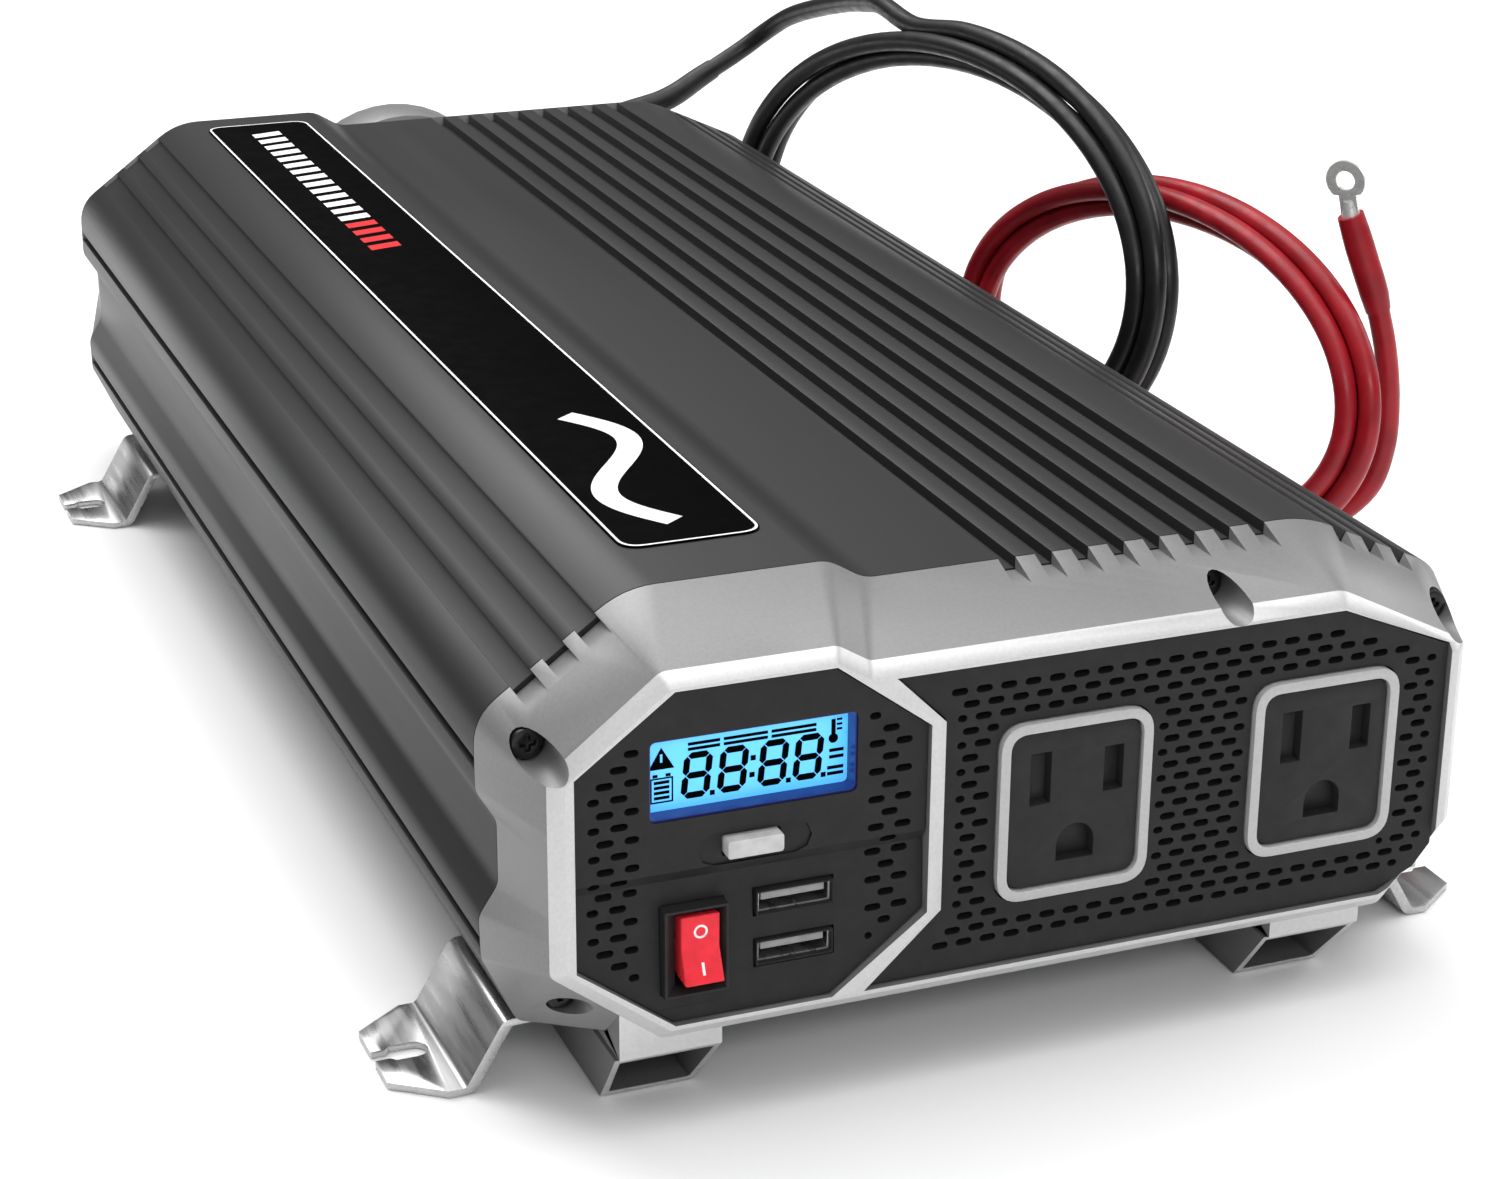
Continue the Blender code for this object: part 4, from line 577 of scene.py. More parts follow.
def inset(corners, distance):
    """The corners moved inwards by a distance, along the lines that meet there."""
    moved = []
    count = len(corners)
    for i, (x, z, radius) in enumerate(corners):
        before = Vector(corners[i - 1][:2])
        here = Vector((x, z))
        after = Vector(corners[(i + 1) % count][:2])
        first = (here - before).normalized()
        second = (after - here).normalized()
        first_normal = Vector((first.y, -first.x))
        second_normal = Vector((second.y, -second.x))
        bisector = (first_normal + second_normal).normalized()
        reach = distance / max(bisector.dot(first_normal), 0.3)
        point = here + bisector * reach
        moved.append((point.x, point.y, max(radius - distance, 1 * MM)))
    return moved


def drawn_in(corners, margin):
    """The (x, z) points of a sharp-cornered outline drawn in by a margin."""
    sharp = [(x, z, 0) for x, z in corners]
    return [(x, z) for x, z, _ in inset(sharp, margin)]


def rectangle(left, bottom, width, height):
    return [(left, bottom), (left + width, bottom), (left + width, bottom + height),
        (left, bottom + height)]


def display_outline(margin=0.0):
    """The eight-sided display opening, clockwise, drawn in by a margin."""
    low = RIM_BOTTOM + OPENING_BOTTOM
    top = RIM_TOP - OPENING_TOP
    left = DISPLAY_LEFT
    right = DISPLAY_RIGHT
    across = 16 * MM
    rise = 12 * MM
    corners = [(left + across, low), (left, low + rise), (left, top - rise),
        (left + across, top), (right - across, top), (right, top - rise), (right, low + rise),
        (right - across, low)]
    return drawn_in(corners, margin)


def outlet_outline(margin=0.0):
    """The outlet opening, whose left side follows the display opening, drawn in by a margin."""
    low = RIM_BOTTOM + OPENING_BOTTOM
    top = RIM_LOW - OPENING_TOP
    left = OUTLET_LEFT
    right = OUTLET_RIGHT
    corners = [(left - 13 * MM, low), (left, low + 12 * MM), (left, top - 8.5 * MM),
        (left - 8.5 * MM, top), (right - 21 * MM, top), (right, top - 9 * MM),
        (right, low + 7.4 * MM), (right - 3.2 * MM, low + 3.4 * MM), (right - 10.3 * MM, low)]
    return drawn_in(corners, margin)


def screw_places():
    """(x, z) of the corner screws, then of the extra one under the front's low deck."""
    high = RIM_TOP - 13 * MM
    low = RIM_BOTTOM + 5.5 * MM
    out = RIM_HALF - 0.3 * MM
    return [(-out, high), (out, high), (-out + 4.5 * MM, low), (out - 4.5 * MM, low),
        (RIM_HALF - 43.6 * MM, RIM_LOW + 0.2 * MM)]


def body_block(name, look):
    outline = rounded(section_corners())
    return loft(name, [(BODY_FRONT + GAP, outline), (BODY_BACK - GAP, outline)], look)


def body_hollow(name):
    outline = rounded(inset(section_corners(), SHELL_WALL))
    return loft(name, [(BODY_FRONT - 5 * MM, outline), (BODY_BACK + 5 * MM, outline)])


def body_half(low, high):
    """A block round everything of the body between two heights."""
    return box("half", (-HALF_WIDTH - CLEAR, BODY_FRONT - CLEAR, low),
        (HALF_WIDTH + CLEAR, BODY_BACK + CLEAR, high))


def slope_cutter(name, start, end, along, width, depth):
    """A full-length groove cutter centred at a distance along the line from start to end."""
    direction = (Vector(end) - Vector(start)).normalized()
    centre = Vector(start) + direction * along
    angle = math.atan2(direction.y, direction.x)
    cutter = box(name, (-width / 2, BODY_FRONT - 2 * MM, -depth),
        (width / 2, BODY_BACK + 2 * MM, 4 * MM))
    turn = Matrix.Rotation(-angle, 4, "Y")
    cutter.matrix_world = Matrix.Translation((centre.x, 0, centre.y)) @ turn
    return cutter


def groove_cutters(on_deck, on_right, on_left):
    """Groove cutters of the given depths, for the deck and for the slopes at its sides."""
    corners = [corner[:2] for corner in section_corners()]
    deck_left, deck_right = corners[9:11]
    cutters = []
    for i in range(DECK_GROOVES):
        along = FIRST_GROOVE_X + i * GROOVE_PITCH - deck_left[0]
        cutters.append(slope_cutter("deck", deck_left, deck_right, along, GROOVE_WIDTH, on_deck))
    for i in range(CHAMFER_GROOVES):
        along = RIGHT_GROOVE_START + i * GROOVE_PITCH
        cutters.append(slope_cutter("right", *corners[10:12], along, GROOVE_WIDTH, on_right))
        along = LEFT_CHANNEL_START + i * GROOVE_PITCH
        cutters.append(slope_cutter("left", *corners[6:8], along, CHANNEL_WIDTH, on_left))
    return cutters


def upper_shell(look):
    shell = body_block("upper_shell", look)
    cut(shell, body_hollow("hollow"), body_half(BODY_BOTTOM - CLEAR, SPLIT_Z + GAP / 2))
    add_screw_channels(shell, "upper", [0, 1, 4])
    for groove in groove_cutters(GROOVE_DEPTH, RIGHT_GROOVE_DEPTH, CHANNEL_DEPTH):
        cut(shell, groove)
    for side in (-1, 1):
        groove_z = BODY_BOTTOM + SIDE_GROOVE_RISE
        cut(shell, side_groove(f"side_groove_{side}", side, groove_z))
        cut(shell, side_groove(f"upper_seam_{side}", side, SPLIT_Z))
    return shell


def side_groove(name, side, middle_z):
    inner = side * (HALF_WIDTH - SIDE_GROOVE_DEPTH)
    outer = side * (HALF_WIDTH + 5 * MM)
    half = SIDE_GROOVE_HEIGHT / 2
    return box(name, (min(inner, outer), BODY_FRONT - 2 * MM, middle_z - half),
        (max(inner, outer), BODY_BACK + 2 * MM, middle_z + half))


def lower_shell(look):
    shell = body_block("lower_shell", look)
    cut(shell, body_hollow("hollow"), body_half(SPLIT_Z - GAP / 2, BODY_TOP + CLEAR))
    add_screw_channels(shell, "lower", [2, 3])
    for side in (-1, 1):
        cut(shell, side_groove(f"lower_seam_{side}", side, SPLIT_Z))
    for number, (x, y) in enumerate(bracket_screw_places()):
        hole = rod(f"bracket_hole_{number}", SCREW_SHANK_RADIUS + GAP,
            (x, y, BODY_BOTTOM - 2 * MM), SHELL_WALL + 4 * MM, axis="Z", sides=16)
        cut(shell, hole)
    return shell


def add_screw_channels(shell, prefix, numbers):
    """Round screw channels along the shell's full length, open at both ends."""
    for number in numbers:
        x, z = screw_places()[number]
        radius = LOWER_CHANNEL if prefix == "lower" else UPPER_CHANNEL
        join(shell, rod(f"{prefix}_channel_{number}", radius, (x, BODY_FRONT + GAP, z),
            BODY_LENGTH - 2 * GAP, sides=16))
        cut(shell, rod(f"{prefix}_channel_bore_{number}", SCREW_SHANK_RADIUS + GAP,
            (x, BODY_FRONT - 5 * MM, z), BODY_LENGTH + 10 * MM, sides=16))


def end_block(name, look, front):
    """The flared solid between a body end and its outer rim."""
    section = rounded(section_corners())
    rim = rounded(rim_corners())
    lip = rounded(inset(rim_corners(), RIM_BEVEL))
    if front:
        rings = [(BODY_FRONT, section), (FRONT_Y + RIM_BEVEL, rim), (FRONT_Y, lip)]
    else:
        rings = [(BODY_BACK, section), (REAR_Y - RIM_BEVEL, rim), (REAR_Y, lip)]
    return loft(name, rings, look)


def cut_pockets(target, prefix, numbers, front):
    """Screw pockets from the outer face, and the shank holes behind them."""
    for number in numbers:
        x, z = screw_places()[number]
        if front:
            pocket_start = FRONT_Y - 5 * MM
            hole_start = FRONT_Y + BEZEL_SCREW_DEPTH - 1 * MM
        else:
            pocket_start = REAR_Y - BEZEL_SCREW_DEPTH
            hole_start = BODY_BACK - 2 * MM
        cut(target, rod(f"{prefix}_pocket_{number}", POCKET_RADIUS, (x, pocket_start, z),
            BEZEL_SCREW_DEPTH + 5 * MM, sides=24),
            rod(f"{prefix}_hole_{number}", SCREW_SHANK_RADIUS + GAP, (x, hole_start, z),
            SCREW_SEAT_DEPTH + 3 * MM, sides=16))


def front_bezel(look):
    bezel = end_block("front_bezel", look, True)
    for x in RAIL_X:
        join(bezel, rail_lip(f"rail_lip_{x:.3f}", x))
    depth = CAP_DEPTH + 10 * MM
    cut(bezel, sheet("display_cut", [display_outline()], FRONT_Y - 5 * MM,
        LEDGE_Y - FRONT_Y + 5 * MM),
        sheet("outlet_cut", [outlet_outline()], FRONT_Y - 5 * MM, LEDGE_Y - FRONT_Y + 5 * MM),
        sheet("display_ledge_cut", [display_outline(LEDGE)], FRONT_Y, depth),
        sheet("outlet_ledge_cut", [outlet_outline(LEDGE)], FRONT_Y, depth))
    cut_pockets(bezel, "front", range(5), True)
    return bezel


def rail_lip(name, x):
    """The bezel's flat pad over a foot rail."""
    return box(name, (x - RAIL_TOP_WIDTH / 2 + 0.5 * MM, FRONT_Y + RIM_BEVEL, BODY_BOTTOM),
        (x + RAIL_TOP_WIDTH / 2 - 0.5 * MM, BODY_FRONT, BODY_BOTTOM + 8 * MM))


def rear_cap(look):
    cap = end_block("rear_cap", look, False)
    fan_z = BODY_BOTTOM + FAN_RISE
    join(cap, rod("collar", COLLAR_RADIUS, (FAN_X, REAR_Y - 2 * MM, fan_z),
        COLLAR_LENGTH + 2 * MM, sides=40))
    hollow = box("cap_hollow", (-HALF_WIDTH + CAP_HOLLOW_LEFT, BODY_BACK - 5 * MM,
        BODY_BOTTOM + 8 * MM), (HALF_WIDTH - CAP_HOLLOW_RIGHT, REAR_Y - CAP_WALL,
        DECK_LOW - 10 * MM))
    bore = rod("collar_bore", COLLAR_RADIUS - COLLAR_WALL, (FAN_X, REAR_Y - 8 * MM, fan_z),
        COLLAR_LENGTH + 12 * MM, sides=40)
    cut(cap, hollow, bore)
    for number, rise in enumerate((BLACK_CABLE_RISE, RED_CABLE_RISE)):
        cut(cap, rod(f"cable_hole_{number}", BOOT_RADIUS + GAP,
            (CABLE_X, REAR_Y - 8 * MM, BODY_BOTTOM + rise), 12 * MM, sides=20))
    cut_pockets(cap, "rear", range(4), False)
    return cap


def end_screw(name, number, front, look):
    """A pan-head screw: the head in its pocket, the shank in the shell's channel."""
    x, z = screw_places()[number]
    if front:
        seat = FRONT_Y + BEZEL_SCREW_DEPTH - GAP
        head_start = seat - SCREW_HEAD_HEIGHT
        shank_start = seat - 0.5 * MM
    else:
        seat = REAR_Y - BEZEL_SCREW_DEPTH + GAP
        head_start = seat
        shank_start = seat + 0.5 * MM - SCREW_SHANK_LENGTH - SCREW_SEAT_DEPTH
    head = rod(name, SCREW_HEAD_RADIUS, (x, head_start, z), SCREW_HEAD_HEIGHT, look, sides=20)
    shank = rod(name + "_shank", SCREW_SHANK_RADIUS, (x, shank_start, z),
        SCREW_SHANK_LENGTH + SCREW_SEAT_DEPTH, sides=12)
    join(head, shank)
    start = head_start - 1 * MM if front else head_start + SCREW_HEAD_HEIGHT - 1 * MM
    for across, up in ((CROSS_WIDTH, END_CROSS), (END_CROSS, CROSS_WIDTH)):
        cut(head, box("cross", (x - across / 2, start, z - up / 2),
            (x + across / 2, start + CROSS_DEPTH, z + up / 2)))
    return head


def foot_rail(name, x, look):
    """A hollow trapezoid rail whose ends are cut back towards the floor."""
    half_low = RAIL_BOTTOM_WIDTH / 2
    half_top = RAIL_TOP_WIDTH / 2
    top = BODY_BOTTOM - GAP
    rail_front = FRONT_Y + 3 * MM
    rail_back = REAR_Y - 3 * MM
    slant = 10.5 * MM

    def ring(wall):
        return [(x - half_top + wall, top - wall), (x + half_top - wall, top - wall),
            (x + half_low - wall, wall), (x - half_low + wall, wall)]

    def build(work, wall, reach):
        loops = []
        for start, lean in ((rail_front - reach, 1), (rail_back + reach, -1)):
            loop = []
            for px, pz in ring(wall):
                setback = slant * (top - pz) / top
                loop.append(work.verts.new((px, start + lean * setback, pz)))
            loops.append(loop)
        for i in range(4):
            j = (i + 1) % 4
            work.faces.new((loops[0][i], loops[0][j], loops[1][j], loops[1][i]))
        work.faces.new(loops[0])
        work.faces.new(loops[1])

    rail = place(name, mesh_from(lambda w: build(w, 0, 0), name), look)
    inside = mesh_from(lambda w: build(w, RAIL_WALL, 3 * MM), name)
    cut(rail, place(name + "_hollow", inside, None))
    return rail


def bracket_places():
    """Each bracket's name, side and middle y."""
    front = BODY_FRONT + BRACKET_FRONT
    rear = BODY_BACK - BRACKET_REAR
    return [("bracket_front_left", -1, front), ("bracket_front_right", 1, front),
        ("bracket_rear_left", -1, rear), ("bracket_rear_right", 1, rear)]


def bracket_screw_places():
    flange_middle = HALF_WIDTH - 6 * MM - BRACKET_FLANGE / 2 + 1 * MM
    return [(side * flange_middle, y) for _, side, y in bracket_places()]


def bracket(name, side, middle_y, look):
    """A Z-bent sheet: slotted plate on the floor, slanted riser, flange under the body."""
    outer = HALF_WIDTH + BRACKET_REACH
    bend = outer - BRACKET_PLATE
    top = BODY_BOTTOM - GAP
    shoulder = HALF_WIDTH - 5 * MM
    inner = shoulder - BRACKET_FLANGE
    sheet_t = BRACKET_SHEET
    lean = 0.7 * MM
    profile = [(outer, 0, 0), (outer, sheet_t, 0), (bend + lean, sheet_t, 1.2 * MM),
        (shoulder + lean, top, 2.4 * MM), (inner, top, 0), (inner, top - sheet_t, 0),
        (shoulder - lean, top - sheet_t, 1.2 * MM), (bend - lean, 0, 2.4 * MM)]
    outline = [(side * x, z) for x, z in rounded_some(profile)]
    made = sheet(name, [outline], middle_y - BRACKET_LENGTH / 2, BRACKET_LENGTH, look)
    for end in (-1, 1):
        corner = [(side * (outer + 4.2 * MM), middle_y + end * (BRACKET_LENGTH / 2 - 9.3 * MM)),
            (side * (outer + 4.2 * MM), middle_y + end * (BRACKET_LENGTH / 2 + 3.1 * MM)),
            (side * (outer - 12.7 * MM), middle_y + end * (BRACKET_LENGTH / 2 + 3.1 * MM))]
        cut(made, sheet(f"{name}_corner_{end}", [corner], -2 * MM, 8 * MM, axis="Z"))
    cut(made, bracket_slot(name, side, outer, middle_y))
    x, y = bracket_screw_places()[[p[0] for p in bracket_places()].index(name)]
    cut(made, rod(name + "_hole", SCREW_SHANK_RADIUS + GAP, (x, y, top - 4 * MM), 6 * MM,
        axis="Z", sides=16))
    return made


def rounded_some(profile):
    """Rounds only the corners that state a radius."""
    points = []
    smooth = rounded(profile, 3)
    for i, (x, z, radius) in enumerate(profile):
        points += smooth[4 * i : 4 * i + 4] if radius else [(x, z)]
    return points


def bracket_slot(name, side, outer, middle_y):
    """The open keyhole slot, from the plate's edge to its round inner end."""
    bulb = SLOT_BULB / 2
    throat = SLOT_THROAT / 2
    end_x = outer - SLOT_LENGTH + bulb
    arc = [(end_x - bulb * math.sin(angle), -bulb * math.cos(angle))
        for angle in [math.pi * i / 8 for i in range(9)]]
    straight = outer - 3.4 * MM
    path = [(outer + 2 * MM, -throat), (straight + 1 * MM, -throat), (straight, -bulb)]
    path += arc
    path += [(straight, bulb), (straight + 1 * MM, throat), (outer + 2 * MM, throat)]
    points = [(side * x, middle_y + y) for x, y in path]
    return sheet(name + "_slot", [points], -1 * MM, BRACKET_SHEET + 3 * MM, axis="Z")


def bracket_screw(name, place_xy, look):
    """A screw from below: its head under the flange, its shank in the lower shell."""
    x, y = place_xy
    seat = BODY_BOTTOM - GAP - BRACKET_SHEET - GAP
    head = rod(name, BRACKET_CROSS, (x, y, seat - BRACKET_HEAD_HEIGHT), BRACKET_HEAD_HEIGHT,
        look, axis="Z", sides=20)
    join(head, rod(name + "_shank", SCREW_SHANK_RADIUS, (x, y, seat - 1 * MM), 8 * MM, axis="Z",
        sides=12))
    for across, along in ((CROSS_WIDTH, BRACKET_CROSS), (BRACKET_CROSS, CROSS_WIDTH)):
        cut(head, box("cross", (x - across / 2, y - along / 2, seat - 1 * MM - CROSS_DEPTH),
            (x + across / 2, y + along / 2, seat - 1 * MM)))
    return head


def display_places():
    """Lower-left corners and sizes of the display panel's openings."""
    x0 = DISPLAY_LEFT
    z0 = BODY_BOTTOM
    usb = [(x0 + USB[0], z0 + rise, USB[2], USB[3]) for rise in USB[1]]
    return {"window": (x0 + WINDOW[0], z0 + WINDOW[1], WINDOW[2], WINDOW[3]),
        "menu": (x0 + MENU[0], z0 + MENU[1], MENU[2], MENU[3]),
        "rocker": (x0 + ROCKER[0], z0 + ROCKER[1], ROCKER[2], ROCKER[3]), "usb": usb}


def grown(place_size, margin):
    x, z, width, height = place_size
    return x - margin, z - margin, width + 2 * margin, height + 2 * margin


def outlet_centres():
    return [(OUTLET_RIGHT - x, BODY_BOTTOM + OUTLET_Z) for x in OUTLET_FROM_RIGHT]


def outlet_frame(x, z, margin, steps=4):
    width = OUTLET_WIDTH - 2 * margin
    height = OUTLET_HEIGHT - 2 * margin
    return rounded_rectangle(x - width / 2, z - height / 2, width, height,
        max(OUTLET_CORNER - margin, 1 * MM), steps)


def outlet_body(name, x, z, look):
    """The socket block: two blade slots and a D-shaped earth hole, open to the front."""
    face = FRONT_Y + 0.6 * MM
    block = sheet(name, [outlet_frame(x, z, OUTLET_RING + GAP)], face, OUTLET_DEPTH, look)
    slots = [(x - 7.9 * MM, z + 0.9 * MM, 3.6 * MM, 9 * MM),
        (x + 5.1 * MM, z + 1.5 * MM, 3.4 * MM, 7.7 * MM)]
    for number, (left, low, width, height) in enumerate(slots):
        cut(block, box(f"{name}_blade_{number}", (left, face - 2 * MM, low),
            (left + width, face + SOCKET_DEPTH, low + height)))
    radius = 3.3 * MM
    flat = z - 9.6 * MM
    arch = [(x + 0.5 * MM - radius, flat), (x + 0.5 * MM + radius, flat)]
    for i in range(9):
        angle = math.pi * i / 8
        arch.append((x + 0.5 * MM + radius * math.cos(angle),
            flat + 2.9 * MM + radius * math.sin(angle)))
    cut(block, sheet(f"{name}_earth", [arch], face - 2 * MM, SOCKET_DEPTH + 2 * MM))
    return block


def menu_button(look):
    """A keycap with a flange behind the panel, so that it can't fall out."""
    x, z, width, height = display_places()["menu"]
    cap = sheet("menu_button", [rounded_rectangle(x, z, width, height, 0.5 * MM, 2)],
        FRONT_Y - MENU_PROUD, MENU_PROUD + PANEL_SETBACK + PANEL_THICKNESS + 1 * MM, look)
    flange_start = PANEL_Y + PANEL_THICKNESS + GAP
    join(cap, box("menu_flange", (x - 1 * MM, flange_start, z - 0.8 * MM),
        (x + width + 1 * MM, flange_start + 1 * MM, z + height + 0.8 * MM)))
    return cap


def rocker_pivot():
    x, z, width, height = display_places()["rocker"]
    reach = ROCKER_PIVOT_RADIUS * math.cos(ROCKER_ANGLE
        / 2) + ROCKER_HALF * math.sin(ROCKER_ANGLE)
    return x + width / 2 + 0.7 * MM, FRONT_Y - ROCKER_PROUD + reach, z + 7.4 * MM


def rocker_paddle(look):
    """The paddle at rest: its upper half pressed flush, its lower half raised."""
    px, py, pz = rocker_pivot()
    half = ROCKER_ANGLE / 2
    crest = ROCKER_PIVOT_RADIUS * Vector((-math.cos(half), math.sin(half)))
    top = crest + Vector((0, ROCKER_HALF))
    low = crest + ROCKER_HALF * Vector((-math.sin(ROCKER_ANGLE), -math.cos(ROCKER_ANGLE)))
    outline = [crest, top, top + Vector((3 * MM, -0.6 * MM)), Vector((4.5 * MM, 2.4 * MM)),
        Vector((4.5 * MM, -2.4 * MM)), low + Vector((4.6 * MM, 0.2 * MM)), low]
    points = [(py + p.x, pz + p.y) for p in outline]
    return sheet("rocker_paddle", [points], px - ROCKER_WIDTH / 2, ROCKER_WIDTH, look, axis="X")


def fan_centre():
    return FAN_X, BODY_BOTTOM + FAN_RISE


def fan_front():
    return BODY_BACK - FAN_DEPTH - 1 * MM


def fan_frame(look):
    """The fan's square frame, with its motor cup on four struts."""
    x, z = fan_centre()
    half = FAN_SIZE / 2
    frame = sheet("fan_frame", [rounded_rectangle(x - half, z - half, FAN_SIZE, FAN_SIZE,
        4 * MM), circle(x, z, FAN_BORE, 32)], fan_front(), FAN_DEPTH, look)
    front = fan_front() + 0.3 * MM
    struts = [box("strut_across", (x - FAN_BORE - 0.5 * MM, front, z - 1 * MM),
        (x + FAN_BORE + 0.5 * MM, front + 1.6 * MM, z + 1 * MM)),
        box("strut_up", (x - 1.1 * MM, front + 0.1 * MM, z - FAN_BORE - 0.4 * MM),
        (x + 1.1 * MM, front + 1.8 * MM, z + FAN_BORE + 0.4 * MM)),
        rod("motor_cup", 9 * MM, (x, front + 0.2 * MM, z), 2.6 * MM, sides=20)]
    join(frame, *struts)
    return frame


def fan_rotor(look):
    """The hub and its pitched blades, turning about the y axis."""
    x, z = fan_centre()
    start = fan_front() + 3.4 * MM
    depth = FAN_DEPTH - 4.4 * MM
    hub = rod("fan_rotor", 9.5 * MM, (x, start, z), depth, look, sides=24)
    for i in range(BLADES):
        blade = box(f"blade_{i}", (-0.6 * MM, -depth / 2 - 0.4 * MM, 8 * MM),
            (0.6 * MM, depth / 2 + 0.4 * MM, FAN_BORE - 1.2 * MM))
        blade.matrix_world = (Matrix.Translation((x, start + depth / 2, z))
            @ Matrix.Rotation(2 * math.pi * i / BLADES, 4, "Y")
            @ Matrix.Rotation(math.radians(38), 4, "Z"))
        join(hub, blade)
    return hub


def fan_grille(look):
    """The finger guard in the mouth of the collar: rings joined by spokes."""
    x, z = fan_centre()
    outer = COLLAR_RADIUS - COLLAR_WALL - GAP
    outlines = [circle(x, z, outer, 40)]
    rings = 4
    spokes = 4
    first = 5 * MM
    pitch = (outer - 1.2 * MM - first) / rings
    for ring in range(rings):
        low = first + ring * pitch
        high = low + pitch - 1.2 * MM
        for spoke in range(spokes):
            start = 2 * math.pi * (spoke + 0.5) / spokes
            stop = start + 2 * math.pi / spokes
            points = []
            for radius, order in ((low, range(7)), (high, reversed(range(7)))):
                margin = 0.8 * MM / radius
                for i in order:
                    angle = start + margin + (stop - start - 2 * margin) * i / 6
                    points.append((x + radius * math.cos(angle), z + radius * math.sin(angle)))
            outlines.append(points)
    return sheet("fan_grille", outlines, REAR_Y + COLLAR_LENGTH - 3 * MM, 1.6 * MM, look)


# ---------------------------------------------------------------- camera and light

CAMERA_AT = (-0.2094, -0.5925, 0.2630)
CAMERA_HEADING = -21.62
CAMERA_DIP = 21.66
CAMERA_ROLL = 0.39
CAMERA_SENSOR = 36
CAMERA_LENS = 76.524
FLOOR_DROP = 0.0002
FLOOR_HALF = 6
WORLD_STRENGTH = 0.72
LIGHTS = (("key", (-0.25, 0.75, 1.15), (0, 0.05, 0.04), (1.1, 0.9), 14),
    ("top", (0.15, -0.15, 1.3), (0, 0, 0), (1.1, 1.1), 10),
    ("front", (-0.1, -1.3, 0.75), (0, 0, 0.04), (0.7, 0.4), 6),
    ("side", (1.2, 0.1, 0.5), (0, 0, 0.04), (0.8, 0.6), 4))


def add_camera():
    data = bpy.data.cameras.new("camera")
    data.sensor_width = CAMERA_SENSOR
    data.lens = CAMERA_LENS
    data.clip_start = 0.01
    camera = bpy.data.objects.new("camera", data)
    camera.matrix_world = (Matrix.Translation(CAMERA_AT)
        @ Matrix.Rotation(math.radians(CAMERA_HEADING), 4, "Z")
        @ Matrix.Rotation(math.radians(90 - CAMERA_DIP), 4, "X")
        @ Matrix.Rotation(math.radians(CAMERA_ROLL), 4, "Z"))
    bpy.context.scene.collection.objects.link(camera)
    bpy.context.scene.camera = camera


def area_light(name, at, towards, size, power):
    data = bpy.data.lights.new(name, "AREA")
    data.shape = "RECTANGLE"
    data.size, data.size_y = size
    data.energy = power
    light = bpy.data.objects.new(name, data)
    light.location = at
    light.rotation_euler = (Vector(towards) - Vector(at)).to_track_quat("-Z", "Y").to_euler()
    bpy.context.scene.collection.objects.link(light)


def add_studio():
    world = bpy.data.worlds.new("studio")
    world.use_nodes = True
    nodes, links = world.node_tree.nodes, world.node_tree.links
    where = nodes.new("ShaderNodeTexCoord")
    parts = nodes.new("ShaderNodeSeparateXYZ")
    ramp = nodes.new("ShaderNodeValToRGB")
    low, high = ramp.color_ramp.elements
    low.position, low.color = 0.05, (0.04, 0.04, 0.04, 1)
    high.position, high.color = 0.8, (1, 1, 1, 1)
    links.new(where.outputs["Generated"], parts.inputs["Vector"])
    links.new(parts.outputs["Z"], ramp.inputs["Fac"])
    links.new(ramp.outputs["Color"], nodes["Background"].inputs["Color"])
    nodes["Background"].inputs["Strength"].default_value = WORLD_STRENGTH
    bpy.context.scene.world = world
    bpy.context.scene.view_settings.view_transform = "Standard"
    floor_look = Shader("floor_paper", (0.88, 0.88, 0.885), 0.65)
    floor_look.vary_colour(floor_look.noise(3, 2), 0.995, 1.005)
    mesh = mesh_from(lambda w: bmesh.ops.create_grid(w, x_segments=2, y_segments=2,
        size=FLOOR_HALF), "floor")
    floor = place("floor", mesh, floor_look.material)
    floor.location.z = -FLOOR_DROP
    for light in LIGHTS:
        area_light(*light)


# ---------------------------------------------------------------- cables


def smooth_route(route):
    """Close points on a smooth curve through the route's own points."""
    points = [Vector(p) for p in route]
    ends = [points[0] * 2 - points[1]] + points + [points[-1] * 2 - points[-2]]
    fine = []
    for i in range(1, len(ends) - 2):
        a, b, c, d = ends[i - 1 : i + 3]
        for step in range(24):
            t = step / 24
            fine.append(0.5 * (2 * b + (c - a) * t + (2 * a - 5 * b + 4 * c - d) * t**2
                + (3 * b - a - 3 * c + d) * t**3))
    return fine + [points[-1]]


def portion(fine, start, end, spacing):
    """Evenly spaced points of a polyline between two lengths along it."""
    lengths = [0.0]
    for a, b in zip(fine, fine[1:]):
        lengths.append(lengths[-1] + (b - a).length)
    stop = lengths[-1] if end is None else end
    count = max(2, round((stop - start) / spacing))
    out = []
    j = 0
    for i in range(count + 1):
        target = start + (stop - start) * i / count
        while j < len(lengths) - 2 and lengths[j + 1] < target:
            j += 1
        t = (target - lengths[j]) / max(lengths[j + 1] - lengths[j], 1e-9)
        out.append(fine[j].lerp(fine[j + 1], min(max(t, 0), 1)))
    return out


def length_of(points):
    return sum((b - a).length for a, b in zip(points, points[1:]))


